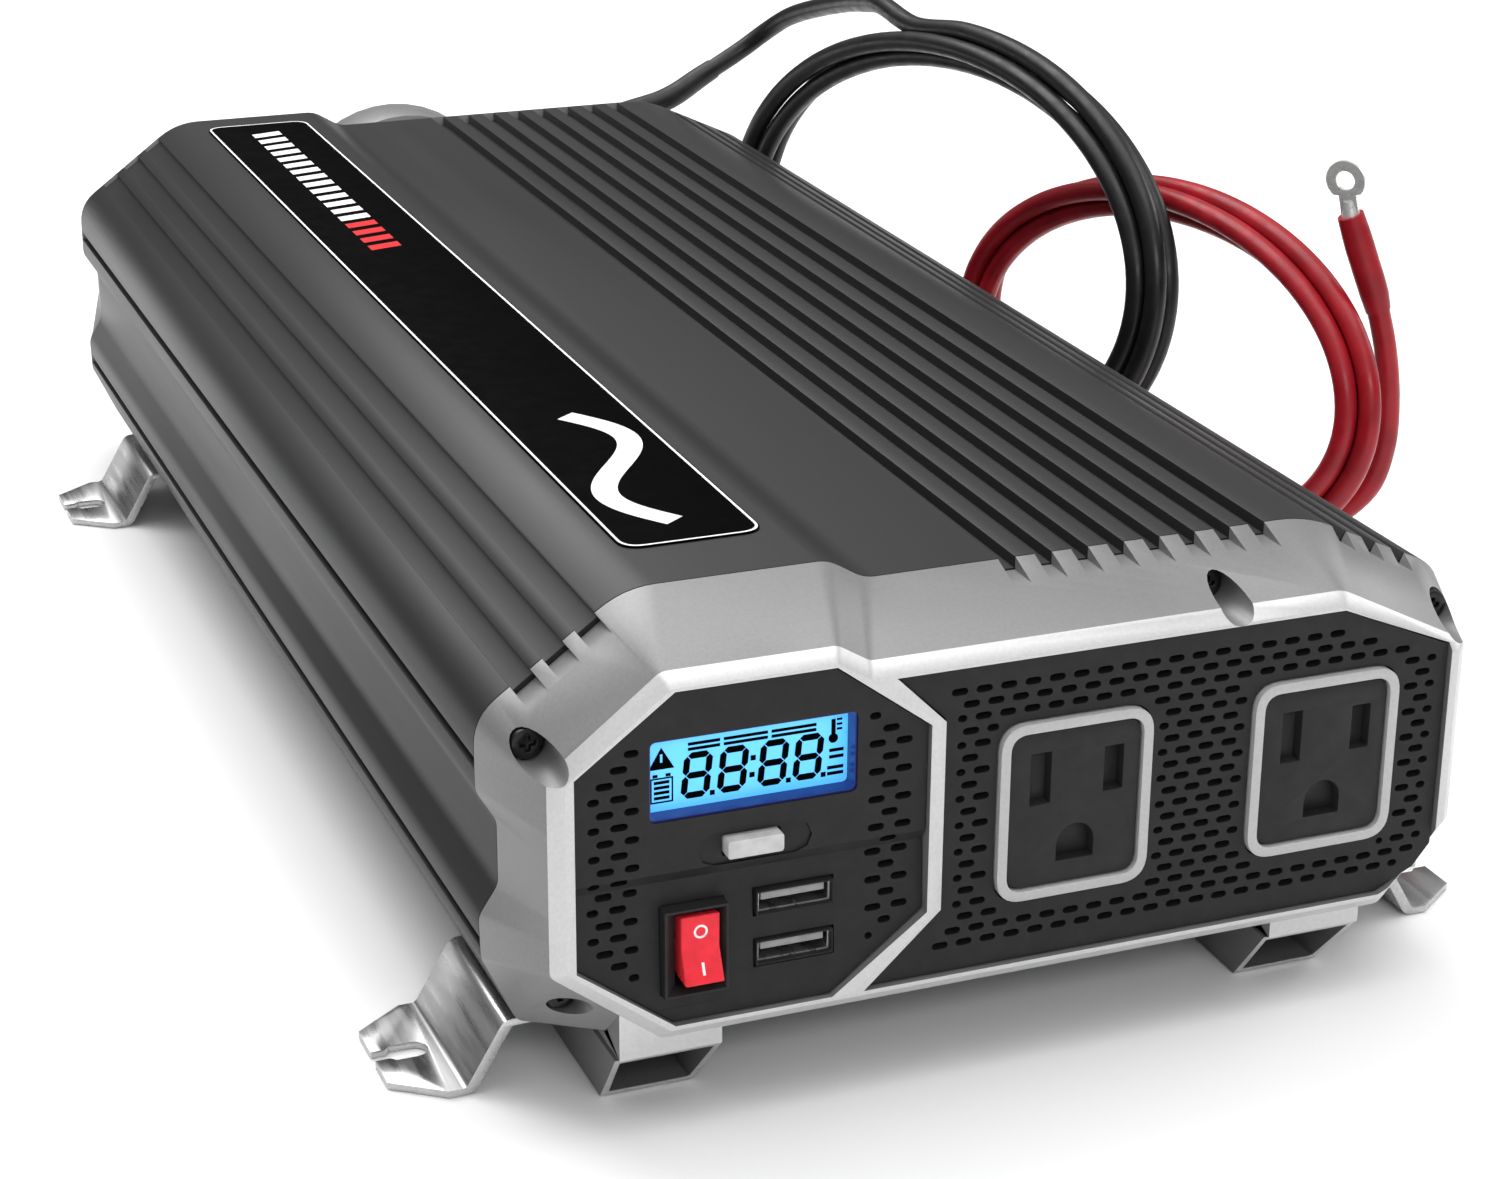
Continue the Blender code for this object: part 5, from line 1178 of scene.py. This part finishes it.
class Coil:
    """Turns of cable wound round an oval that stands on its edge."""

    def __init__(self, centre, half, turn, lean, tilt, band):
        self.centre = Vector(centre)
        self.half = [value - band / 2 for value in half]
        self.turn, self.lean, self.tilt = [math.radians(a) for a in (turn, lean, tilt)]
        self.along = Vector((math.cos(self.turn), math.sin(self.turn), 0))
        self.out = Vector((-math.sin(self.turn), math.cos(self.turn), 0))
        self.up = Vector((0, 0, math.cos(self.lean))) + self.out * math.sin(self.lean)
        self.normal = self.along.cross(self.up)
        if self.normal.dot(self.out) < 0:
            self.normal.negate()

    def flat(self, angle, extra=0.0):
        """A point of the oval in its own plane, moved outwards by extra."""
        a, b = self.half
        x, y = a * math.cos(angle), b * math.sin(angle)
        nx, ny = b * math.cos(angle), a * math.sin(angle)
        size = math.hypot(nx, ny)
        x, y = x + extra * nx / size, y + extra * ny / size
        return (x * math.cos(self.tilt) - y * math.sin(self.tilt),
            x * math.sin(self.tilt) + y * math.cos(self.tilt))

    def point(self, angle, outward=0.0, sideways=0.0):
        h, w = self.flat(math.radians(angle), outward)
        return self.centre + self.along * h + self.up * w + self.normal * sideways

    def turns(self, start, stop, strand, slot_start, slot_step, aside=None, steps=26):
        """Points from one angle to another, each turn in the next place round the bundle."""
        count = round(abs(stop - start) / 360 * steps)
        points = []
        for i in range(count + 1):
            t = i / count
            angle = start + (stop - start) * t
            slot = math.radians(slot_start + slot_step * abs(angle - start) / 360)
            outward, sideways = strand * math.cos(slot), strand * math.sin(slot)
            if aside is not None:
                begin, shift = aside
                done = min(max((t - begin) / (1 - begin), 0), 1)
                ease = done * done * (3 - 2 * done)
                outward *= 1 - ease
                sideways = sideways * (1 - ease) + shift * ease
            points.append(self.point(angle, outward, sideways))
        return points


def tube(name, points, radius, look, resolution=6, taper=None):
    """A round tube along points; taper gives the radius factors at evenly spaced stations."""
    data = bpy.data.curves.new(name, "CURVE")
    data.dimensions = "3D"
    data.bevel_depth = radius * MM
    data.bevel_resolution = resolution
    data.use_fill_caps = True
    spline = data.splines.new("POLY")
    spline.points.add(len(points) - 1)
    last = len(points) - 1
    for i, (point, at) in enumerate(zip(spline.points, points)):
        point.co = (*(at * MM), 1)
        if taper:
            place_on = i / last * (len(taper) - 1)
            low = min(int(place_on), len(taper) - 2)
            point.radius = taper[low] + (taper[low + 1] - taper[low]) * (place_on - low)
    spline.use_smooth = True
    data.materials.append(look)
    made = bpy.data.objects.new(name, data)
    bpy.context.scene.collection.objects.link(made)
    return made


# The routes and these radii and lengths are in millimetres, as in the CAD.
CABLE_TUBE = 2.4
BOOT_TUBE = 3.1
BLACK_BOOT = 64
RED_BOOT = 17
RED_SLEEVE = 22
BLACK_ROUTE = [(45.5, 170.2, 59.5), (45.6, 178.5, 59.7), (49.5, 185.8, 62.5),
    (59.5, 190.8, 67.3), (76.5, 192.6, 71.1), (88.5, 196.2, 76.0), (100.0, 197.5, 81.8),
    (106.5, 194.0, 87.5), (109.5, 185.5, 92.6), (111.3, 170.5, 97.5), (111.6, 152.0, 102.2),
    (110.6, 138.0, 104.9), (109.5, 126.0, 106.6)]
RED_ROUTE = [(45.5, 170.2, 34.5), (45.6, 180.0, 34.3), (48.5, 189.0, 31.0), (54.0, 196.5, 23.0),
    (64.0, 198.5, 12.0), (76.0, 193.0, 4.4), (86.0, 181.0, 2.7), (94.0, 166.0, 2.7),
    (103.5, 150.0, 2.7), (113.0, 134.0, 2.7), (120.0, 117.0, 2.7), (124.0, 100.0, 2.7),
    (126.2, 84.0, 2.7), (127.6, 68.0, 2.8)]
RED_TAIL_ROUTE = [(142.8, -12.0, 12.0), (150.2, -26.0, 18.2), (155.6, -34.6, 27.6),
    (156.7, -38.8, 38.8), (155.6, -40.6, 50.4), (153.5, -41.0, 61.9), (150.4, -40.5, 73.1),
    (146.9, -39.5, 82.9), (143.9, -38.5, 91.5)]
BLACK_SLEEVE_ROUTE = [(114.4, 70.0, 3.3), (112.9, 88.0, 3.3), (111.4, 106.0, 3.3)]
BLACK_COIL = Coil((107.3, 87.9, 55.6), (94.6, 54.2), -82.5, 5.7, 6.3, 11.6)
RED_COIL = Coil((130.2, 17.2, 44.3), (75.4, 42.8), -81.4, 4, 6.3, 10.4)


def ring_terminal(name, at, direction, normal, look):
    """A ring tongue: crimped barrel, neck and flat ring with its stud hole."""
    along = Vector(direction).normalized()
    up = Vector(normal).normalized()
    up = (up - along * up.dot(along)).normalized()
    side = up.cross(along)
    neck, radius = 7 * MM, 4.3 * MM
    points = [(-1 * MM, -1.9 * MM), (neck - 3.2 * MM, -1.9 * MM)]
    for i in range(25):
        angle = math.radians(-135 + 270 * i / 24)
        points.append((neck + radius * math.cos(angle), radius * math.sin(angle)))
    points += [(neck - 3.2 * MM, 1.9 * MM), (-1 * MM, 1.9 * MM)]
    made = sheet(name, [points, circle(neck, 0, 2.1 * MM, 32)], -0.45 * MM, 0.9 * MM, look,
        axis="Z")
    barrel = rod(name + "_barrel", 2 * MM, (-1.5 * MM, 0, 0), 4 * MM, look, axis="X", sides=24,
        end_radius=1.2 * MM)
    join(made, barrel)
    matrix = Matrix(((along.x, side.x, up.x, 0), (along.y, side.y, up.y, 0),
        (along.z, side.z, up.z, 0), (0, 0, 0, 1)))
    made.data.transform(Matrix.Translation(Vector(at) * MM) @ matrix)
    return soften(made, 0.12 * MM)


def add_cable(colour, look, route, parts, boot, boot_taper, sleeve, sleeve_taper, terminal):
    """One battery cable with its boot, heat-shrink sleeve and ring terminal."""
    points = portion(smooth_route(route), 0, None, 2.2)
    cable = tube(f"{colour}_cable", points, CABLE_TUBE, look)
    boot_piece = tube(f"{colour}_cable_boot", boot, BOOT_TUBE, look, 8, boot_taper)
    name = f"{colour}_terminal_heatshrink"
    sleeve_piece = tube(name, sleeve, BOOT_TUBE, look, 8, sleeve_taper)
    terminal_piece = ring_terminal(f"{colour}_battery_terminal", *terminal, TIN)
    slot = f"cable_{colour}"
    on(cable, HOUSING, slot, *[f"{colour}_cable_{part}" for part in parts])
    on(boot_piece, HOUSING, slot, f"{colour}_boot")
    on(sleeve_piece, HOUSING, slot, f"{colour}_terminal_sleeve")
    on(terminal_piece, HOUSING, "tin_plate", f"{colour}_ring_terminal")
    length_of(points) * MM


def add_cables():
    turns = BLACK_COIL.turns(98, -70 - 3 * 360, 3.5, 0, -90)
    add_cable("black", BLACK_JACKET,
        BLACK_ROUTE + turns + [Vector((113.6, 62.0, 4.2))] + BLACK_SLEEVE_ROUTE,
        ("lead", "coil"), portion(smooth_route(BLACK_ROUTE), 0, BLACK_BOOT, 1.6),
        [1, 1.02, 1, 0.99, 1, 1.01, 0.99, 0.97, 0.93, 0.86],
        portion(smooth_route(BLACK_SLEEVE_ROUTE), 0, None, 1.5),
        [0.86, 0.98, 1, 1, 1, 1, 0.97, 0.9], ((111.35, 106.5, 3.3), (-0.083, 1, 0), (0, 0, 1)))
    turns = RED_COIL.turns(-112, -88 + 3 * 360, 2.83, 96, 120, aside=(0.87, 8.0))
    tail = smooth_route(RED_TAIL_ROUTE)
    add_cable("red", RED_JACKET, RED_ROUTE + turns + RED_TAIL_ROUTE, ("lead", "coil", "tail"),
        portion(smooth_route(RED_ROUTE), 0, RED_BOOT, 1.2), [1, 1, 1, 0.97, 0.86],
        portion(tail, length_of(tail) - RED_SLEEVE, None, 1.2),
        [0.86, 0.98, 1, 1, 1, 0.97, 0.9],
        ((143.8, -38.5, 92.1), (-0.2, 0.05, 0.98), (0.78, 0.58, 0.15)))


# ---------------------------------------------------------------- vents


SLOT = (2.85 * MM, 1.22 * MM)
SHORTEST_SLOT = 1.45 * MM
VENT_MARGIN = 2.3 * MM
DISPLAY_COLUMN = 4.5 * MM
OUTLET_COLUMN = 4.2 * MM
DISPLAY_ROW = 2.37 * MM
OUTLET_ROW = 2.3 * MM


def clearance(point, outline):
    """How far a point lies inside an outline, or -1 outside it."""
    here = Vector(point)
    odd = False
    nearest = 1.0
    for i, corner in enumerate(outline):
        a, b = Vector(outline[i - 1][:2]), Vector(corner[:2])
        if (a.y > here.y) != (b.y > here.y):
            if here.x < a.x + (b.x - a.x) * (here.y - a.y) / (b.y - a.y):
                odd = not odd
        along = b - a
        t = min(max((here - a).dot(along) / max(along.length_squared, 1e-12), 0), 1)
        nearest = min(nearest, (here - a - along * t).length)
    return nearest if odd else -1


def slot_outline(left, right, z, height):
    """A slot with round ends, as an outline."""
    radius = height / 2
    points = []
    for middle, start in ((right - radius, -90), (left + radius, 90)):
        for i in range(5):
            angle = math.radians(start + 45 * i)
            points.append((middle + radius * math.cos(angle), z + radius * math.sin(angle)))
    return points


def vent_slots(allowed, x0, x1, column, top, rows, row, size):
    """Staggered rows of slots, each kept only as far as allowed(x, z) lets it reach."""
    width, height = size
    slots = []
    step = 0.15 * MM
    for r in range(rows):
        z = top - r * row
        first = x0 + (column / 2 if r % 2 else 0) - column
        for c in range(int((x1 - x0) / column) + 3):
            middle = first + c * column
            count = int(width / step)
            good = [middle - width / 2 + step * i for i in range(count + 1)
                if all(allowed(middle - width / 2 + step * i, z + dz)
                for dz in (-height / 2, height / 2))]
            if len(good) * step > SHORTEST_SLOT and good[-1] - good[0] < width + step:
                right = max(good[-1], good[0] + height * 1.05)
                slots.append(slot_outline(good[0], right, z, height))
    return slots


def display_vents():
    outline = display_outline()

    def left(x, z):
        return x < -65.4 * MM and clearance((x, z), outline) > VENT_MARGIN

    def right(x, z):
        return x > -28.4 * MM and clearance((x, z), outline) > VENT_MARGIN

    rows = (DISPLAY_COLUMN, 65.1 * MM, 17, DISPLAY_ROW, SLOT)
    return (vent_slots(left, -75.4 * MM, -64 * MM, *rows)
        + vent_slots(right, -26.5 * MM, -18 * MM, *rows))


def outlet_vents():
    outline = outlet_outline()
    frames = [outlet_frame(x, z, -1 * MM, 6) for x, z in outlet_centres()]

    def clear(x, z):
        outside = all(clearance((x, z), f) < 0 for f in frames)
        return outside and clearance((x, z), outline) > VENT_MARGIN

    return vent_slots(clear, OUTLET_LEFT - 10 * MM, OUTLET_RIGHT, OUTLET_COLUMN, 66.9 * MM, 21,
        OUTLET_ROW, SLOT)


# ---------------------------------------------------------------- front panel


def window_place():
    """The display opening's lower left corner and size, as the face shows it."""
    x, z, width, height = display_places()["window"]
    return x + 0.6 * MM, z, width - 1 * MM, height - 1.2 * MM


def add_front_panels():
    places = display_places()
    pill = slot_outline(-56 * MM, -37.2 * MM, 46.9 * MM, 5.4 * MM)
    panel = sheet("display_face",
        [display_outline(GAP), rounded_rectangle(*window_place(), 1.2 * MM),
        rounded_rectangle(*grown(places["menu"], GAP), 0.6 * MM), rectangle(*places["rocker"])]
        + [rectangle(*usb) for usb in places["usb"]] + display_vents(), PANEL_Y,
        PANEL_THICKNESS, PANEL_BLACK)
    crease = [(PANEL_Y - 1 * MM, 20 * MM), (PANEL_Y - 1 * MM, 45.2 * MM), (PANEL_Y, 44.3 * MM),
        (PANEL_Y + 1.2 * MM, 42.4 * MM), (PANEL_Y + 0.05 * MM, 21 * MM)]
    cut(panel, sheet("pill_cut", [pill], PANEL_Y - 1 * MM, 1.45 * MM),
        sheet("crease_cut", [crease], -77 * MM, 60 * MM, axis="X"))
    finish(panel, 0, HOUSING, "panel_black", "display_panel")

    panel = sheet("outlet_face",
        [outlet_outline(GAP)] + [outlet_frame(x, z, 0, 6) for x, z in outlet_centres()]
        + outlet_vents(), PANEL_Y, PANEL_THICKNESS, PANEL_BLACK)
    finish(panel, 0, HOUSING, "panel_black", "outlet_panel")

    for side, (x, z) in zip(("left", "right"), outlet_centres()):
        ring = sheet(f"socket_trim_{side}",
            [outlet_frame(x, z, GAP, 8), outlet_frame(x, z, OUTLET_RING, 8)], FRONT_Y,
            PANEL_SETBACK + PANEL_THICKNESS, RING_GREY)
        finish(ring, 0.3 * MM, HOUSING, "silver_paint", f"outlet_ring_{side}")
        body = outlet_body(f"socket_{side}", x, z, OUTLET_BLACK)
        finish(body, 0.18 * MM, HOUSING, "panel_black", f"outlet_{side}")
        contact = box(f"socket_shutters_{side}",
            (x - 9 * MM, FRONT_Y + SHUTTER_SETBACK, z - 10.4 * MM),
            (x + 9 * MM, FRONT_Y + SHUTTER_SETBACK + SHUTTER_THICKNESS, z + 10.6 * MM),
            OUTLET_BLACK)
        finish(contact, 0.1 * MM, HOUSING, "panel_black")


def segments(x, z, width, height):
    """The seven bars of one digit, slanted a little, as outlines."""
    t = 1.05 * MM
    gap = 0.1 * MM
    lean = 0.1
    half = height / 2

    def across(low):
        return [(x + gap + t / 2, low + t / 2), (x + t + gap, low), (x + width - t - gap, low),
            (x + width - gap - t / 2, low + t / 2), (x + width - t - gap, low + t),
            (x + t + gap, low + t)]

    def upright(left, low, high):
        return [(left + t / 2, low), (left + t, low + t / 2), (left + t, high - t / 2),
            (left + t / 2, high), (left, high - t / 2), (left, low + t / 2)]

    bars = [across(z), across(z + half - t / 2), across(z + height - t)]
    for left in (x, x + width - t):
        bars.append(upright(left, z + t / 2 + gap, z + half - gap))
        bars.append(upright(left, z + half + gap, z + height - t / 2 - gap))
    return [[(px + (pz - z) * lean, pz) for px, pz in bar] for bar in bars]


def add_display():
    window = window_place()
    x, z = window[:2]
    back = PANEL_Y + PANEL_THICKNESS + 0.3 * MM
    pane = sheet("display_glow", [rounded_rectangle(*grown(window, 0.5 * MM), 1 * MM)], back,
        1.2 * MM, DISPLAY_BLUE)
    finish(pane, 0.1 * MM, HOUSING, "display_glass", "display_window")
    lining = sheet("display_lining",
        [rounded_rectangle(*grown(window, -0.02 * MM), 1.15 * MM),
        rounded_rectangle(*grown(window, -0.35 * MM), 0.9 * MM)], PANEL_Y + 0.5 * MM,
        back - PANEL_Y - 0.5 * MM, DISPLAY_EDGE)
    finish(lining, 0, HOUSING, "display_glass")

    def bar(left, low, wide, high):
        """A rectangle, in millimetres from the window's lower left corner."""
        return rectangle(x + left * MM, z + low * MM, wide * MM, high * MM)

    bars = [bar(1.7, 6, 0.8, 0.5), bar(3.8, 6, 0.8, 0.5), bar(30.9, 8.2, 0.7, 3),
        circle(x + 31.25 * MM, z + 8 * MM, 0.8 * MM, 16)]
    for left in (6.1, 12.0, 18.6, 24.4):
        bars += segments(x + left * MM, z + 1.7 * MM, 4.7 * MM, 7.6 * MM)
    bars += [bar(left, 1.7, 0.8, 0.8) for left in (10.95, 23.45, 29.25)]
    bars += [bar(17.2 + rise * 0.06, rise, 0.85, 0.85) for rise in (3.6, 6.4)]
    for left, wide in ((7.4, 5.2), (13.2, 7.2), (21, 7.4)):
        bars += [bar(left, low, wide, 0.5) for low in (9.65, 10.5)]
    for left, wide, lows in ((30.6, 2.4, (4.6, 5.7)), (30.3, 2.7, (1.8, 2.8))):
        bars += [bar(left, low, wide, 0.55) for low in lows]
    bars += [bar(1.9, 2.3 + i * 0.85, 2.5, 0.5) for i in range(4)]
    bars += [bar(31.8, 9.3 + i * 0.8, 0.9, 0.35) for i in range(3)]
    battery = [bar(1.3, 1.7, 3.7, 4.2), bar(1.55, 1.95, 3.2, 3.7)]
    base = z + 7.3 * MM
    warning = [[(x + 1 * MM, base), (x + 5.2 * MM, base), (x + 3.1 * MM, base + 3.6 * MM)],
        bar(2.9, 8.4, 0.4, 1.4)]
    pieces = [sheet("display_marks", shape, back - 0.06 * MM, 0.05 * MM, LABEL_BLACK)
        for shape in [[one] for one in bars] + [battery, warning]]
    on(merge(pieces, "display_marks"), HOUSING, "display_glass")


def merge(pieces, name):
    """Puts several meshes into one object."""
    work = bmesh.new()
    for piece in pieces:
        work.from_mesh(piece.data)
    mesh = bpy.data.meshes.new(name)
    work.to_mesh(mesh)
    work.free()
    look = pieces[0].data.materials[0]
    for piece in pieces:
        bpy.data.objects.remove(piece)
    return place(name, mesh, look)


def add_controls():
    key = menu_button(KEY_GREY)
    for point in key.data.vertices:
        if point.co.y < FRONT_Y:
            point.co.y += KEY_DRAWN_IN
    key.name = "menu_keycap"
    finish(key, 0.22 * MM, MENU_KEY, "grey_plastic", "menu_button")

    px, py, pz = rocker_pivot()
    place_of = display_places()["rocker"]
    x, z, width, height = place_of
    reach = ROCKER_HALF + ROCKER_PIVOT_RADIUS * math.sin(ROCKER_ANGLE / 2) + 0.35 * MM
    frame_front = PANEL_Y - FRAME_PROUD
    bezel = sheet("switch_frame",
        [rectangle(*grown(place_of, -0.15 * MM)),
        rectangle(px - ROCKER_WIDTH / 2 - 0.2 * MM, pz - reach, ROCKER_WIDTH + 0.4 * MM,
        2 * reach)], frame_front, 14 * MM, OUTLET_BLACK)
    back = box("switch_back", (x + 0.4 * MM, PANEL_Y + 12 * MM, z + 0.4 * MM),
        (x + width - 0.4 * MM, PANEL_Y + 17 * MM, z + height - 0.4 * MM), OUTLET_BLACK)
    join(bezel, back)
    wide = rectangle(*grown(place_of, -0.55 * MM))
    narrow = rectangle(px - ROCKER_WIDTH / 2 - 0.25 * MM, pz - reach, ROCKER_WIDTH + 0.5 * MM,
        2 * reach)
    cut(bezel, loft("switch_funnel",
        [(frame_front - 0.01 * MM, wide), (PANEL_Y + 1.1 * MM, narrow)], None))
    finish(bezel, 0.15 * MM, HOUSING, "panel_black", "rocker_housing")

    paddle = rocker_paddle(RED)
    paddle.name = "switch_paddle"
    finish(paddle, 0.35 * MM, ROCKER_BODY, "red_plastic", "rocker_paddle", segments=3)
    half = ROCKER_ANGLE / 2
    crest_y = py - ROCKER_PIVOT_RADIUS * math.cos(half)
    crest_z = pz + ROCKER_PIVOT_RADIUS * math.sin(half)
    ring = sheet("mark_off", [circle(px, crest_z + 2.9 * MM, 1.15 * MM, 32),
        circle(px, crest_z + 2.9 * MM, 0.8 * MM, 32)], crest_y - MARK_START, MARK_THICKNESS,
        WHITE_MARK)
    finish(ring, 0, ROCKER_BODY, "red_plastic")
    bar = sheet("mark_on", [rectangle(-0.22 * MM, -4.2 * MM, 0.44 * MM, 2 * MM)], -MARK_START,
        MARK_THICKNESS, WHITE_MARK)
    bar.data.transform(Matrix.Translation((px, crest_y, crest_z))
        @ Matrix.Rotation(-ROCKER_ANGLE, 4, "X"))
    finish(bar, 0, ROCKER_BODY, "red_plastic")

    for number, mouth in enumerate(display_places()["usb"], 1):
        x, z, width, height = mouth
        start = PANEL_Y - 0.1 * MM
        shell = sheet(f"usb_socket_{number}",
            [rectangle(*grown(mouth, -GAP)), rectangle(*grown(mouth, -0.65 * MM))], start,
            10 * MM, PANEL_BLACK)
        finish(shell, 0.2 * MM, HOUSING, "satin_metal", f"usb_shell_{number}")
        liner = sheet(f"usb_liner_{number}",
            [rectangle(*grown(mouth, -0.7 * MM)), rectangle(*grown(mouth, -1 * MM))],
            start + 0.9 * MM, 8 * MM, USB_METAL)
        finish(liner, 0, HOUSING, "satin_metal")
        end = box(f"usb_end_{number}", (x + 0.8 * MM, start + 7.6 * MM, z + 0.8 * MM),
            (x + width - 0.8 * MM, start + 8.6 * MM, z + height - 0.8 * MM), DEEP_BLACK)
        finish(end, 0.1 * MM, HOUSING, "panel_black")
        tongue = box(f"usb_contact_block_{number}",
            (x + 1.5 * MM, start + 1.3 * MM, z + height - 2.5 * MM),
            (x + width - 1.5 * MM, start + 7.7 * MM, z + height - 1.1 * MM), TONGUE_GREY)
        finish(tongue, 0.12 * MM, HOUSING, "grey_plastic", f"usb_tongue_{number}")


# ---------------------------------------------------------------- body


def paint_rim(piece, front):
    """Painted highlight: the outer rim's outward-facing faces take a brighter copy of the
    silver, over the softer silver of the slopes.
    """
    edge = FRONT_Y + RIM_BEVEL * 1.15 if front else REAR_Y - RIM_BEVEL * 1.15
    sign = -1 if front else 1
    for face in piece.data.polygons:
        outside = (face.center.y - edge) * sign > 0
        # Faces that point outwards past the rim's edge take the painted highlight.
        if outside and face.normal.y * sign > 0.3:
            face.material_index = 1


# Builder (named after its CAD node), look, piece name, edge width, body, slot
WHOLE_PIECES = (
    (upper_shell, GRAPHITE, "upper_extrusion", 0.22 * MM, HOUSING, "graphite_paint"),
    (lower_shell, GRAPHITE, "lower_extrusion", 0.22 * MM, HOUSING, "graphite_paint"),
    (fan_frame, DEEP_BLACK, "fan_case", 0.3 * MM, HOUSING, "panel_black"),
    (fan_rotor, PANEL_BLACK, "fan_impeller_wheel", 0.15 * MM, FAN, "panel_black"),
    (fan_grille, SCREW_BLACK, "fan_guard", 0.3 * MM, HOUSING, "rail_paint"),
)
# Piece name, CAD node, count, whether at the front
END_SCREWS = (
    ("front_screw", "bezel_screw", 5, True),
    ("back_screw", "rear_cap_screw", 4, False),
)


def add_body():
    for build, look, name, width, body, slot in WHOLE_PIECES:
        finish(renamed(build(look), name), width, body, slot, build.__name__)

    bezel = renamed(front_bezel(SILVER), "front_frame")
    notches = groove_cutters(*NOTCH_DEPTHS)
    for notch in notches:
        notch.location.y = -NOTCH_REACH
    cut(bezel, *notches)
    # Second material: the brighter silver that paints the rim's highlight.
    bezel.data.materials.append(RIM_HIGHLIGHT_SILVER)
    soften(bezel, 0.3 * MM, 3)
    paint_rim(bezel, True)
    on(bezel, HOUSING, "silver_paint", "front_bezel")

    cap = renamed(rear_cap(SILVER), "rear_frame")
    # Second material: the painted-highlight silver, though no face of the rear cap is given it.
    cap.data.materials.append(RIM_HIGHLIGHT_SILVER)
    soften(cap, 0.2 * MM)
    on(cap, HOUSING, "silver_paint", "rear_cap")

    for name, node, count, front in END_SCREWS:
        for number in range(1, count + 1):
            screw = end_screw(f"{name}_{number}", number - 1, front, SCREW_BLACK)
            finish(screw, 0.2 * MM, HOUSING, "screw_black", f"{node}_{number}")

    for side, x in zip(("left", "right"), RAIL_X):
        rail = renamed(foot_rail("rail", x, RAIL), f"foot_channel_{side}")
        soften(rail, 0.18 * MM)
        rail.data.materials.append(BARE_EDGE)
        for face in rail.data.polygons:
            if abs(face.normal.y) > 0.4:
                face.material_index = 1
        on(rail, HOUSING, "rail_paint", f"foot_rail_{side}")
    for (node, side, y), screw_at in zip(bracket_places(), bracket_screw_places()):
        plate = renamed(bracket(node, side, y, ZINC), node.replace("bracket", "mounting_plate"))
        finish(plate, 0.15 * MM, HOUSING, "zinc_steel", node)
        end = node.replace("bracket_", "")
        screw = renamed(bracket_screw("screw", screw_at, SCREW_BLACK), f"plate_screw_{end}")
        finish(screw, 0.2 * MM, HOUSING, "screw_black", f"bracket_screw_{end}")


def renamed(piece, name):
    piece.name = name
    return piece


LABEL_LEFT = -56 * MM
LABEL_WIDTH = 24.2 * MM
LABEL_BACK = -151.25 * MM
LABEL_LENGTH = 299 * MM
WAVE_START = -142 * MM
WAVE_LENGTH = 56 * MM
WAVE_HEIGHT = 6.4 * MM
WAVE_WIDTH = 4.4 * MM
BAR_START = 30 * MM
BAR_PITCH = 6.1 * MM
BAR_LEAN = 1.6 * MM
BAR_LENGTH = 3.5 * MM
BAR_HALF = 3.4 * MM


def label_outline(margin):
    """The label's outline in (x, y), drawn in by a margin."""
    return rounded_rectangle(LABEL_LEFT + margin, LABEL_BACK + margin, LABEL_WIDTH - 2 * margin,
        LABEL_LENGTH - 2 * margin, 4 * MM - margin * 0.8, 8)


def add_label():
    """The long label: film, printed border and plain marks in place of its words."""
    film = sheet("deck_label", [label_outline(0)], BODY_TOP + 0.05 * MM, LABEL_FILM,
        LABEL_BLACK, axis="Z")
    finish(film, 0.08 * MM, HOUSING, "label_black", "top_label")
    ink = BODY_TOP + 0.05 * MM + LABEL_FILM
    border = sheet("label_border", [label_outline(0.25 * MM), label_outline(0.7 * MM)], ink,
        INK, LABEL_WHITE, axis="Z")
    finish(border, 0, HOUSING, "label_black")
    middle = LABEL_LEFT + LABEL_WIDTH / 2
    wave = [(middle - WAVE_HEIGHT * math.sin(2 * math.pi * i / 48),
        WAVE_START + WAVE_LENGTH * i / 48) for i in range(49)]
    blocks = []
    for i in range(18):
        low = BAR_START + i * BAR_PITCH
        high = low + BAR_LEAN
        blocks.append([(middle - BAR_HALF, low), (middle + BAR_HALF, high),
            (middle + BAR_HALF, high + BAR_LENGTH), (middle - BAR_HALF, low + BAR_LENGTH)])
    whites = [wave_strip(wave, WAVE_WIDTH)] + blocks[4:]
    for name, shapes, look in (("label_marks_white", whites, LABEL_WHITE),
            ("label_marks_red", blocks[:4], LABEL_RED)):
        pieces = [sheet(name, [shape], ink, INK, look, axis="Z") for shape in shapes]
        on(merge(pieces, name), HOUSING, "label_black")


def wave_strip(points, width):
    """A strip of one width along a line of points, as an outline."""
    left, right = [], []
    last = len(points) - 1
    for i, point in enumerate(points):
        here = Vector(point)
        along = Vector(points[min(i + 1, last)]) - Vector(points[max(i - 1, 0)])
        normal = Vector((-along.y, along.x)).normalized() * width / 2
        left.append(tuple(here + normal))
        right.append(tuple(here - normal))
    return left + right[::-1]


INNER_LOOKS = {"display_module": DEEP_BLACK, "menu_switch": TONGUE_GREY, "control_board": BOARD,
    "main_board": BOARD, "heatsink_left": FIN_METAL, "heatsink_right": FIN_METAL,
    "transformer": FERRITE, "capacitor": SLEEVE_BLUE}


def finish_inner_parts():
    """The pieces inside keep their CAD shapes and get their own materials."""
    for name, look in INNER_LOOKS.items():
        piece = frame["nodes"][name]
        piece.data.materials.clear()
        piece.data.materials.append(look)


add_camera()
add_studio()
add_cables()
add_body()
add_front_panels()
add_display()
add_controls()
add_label()
finish_inner_parts()
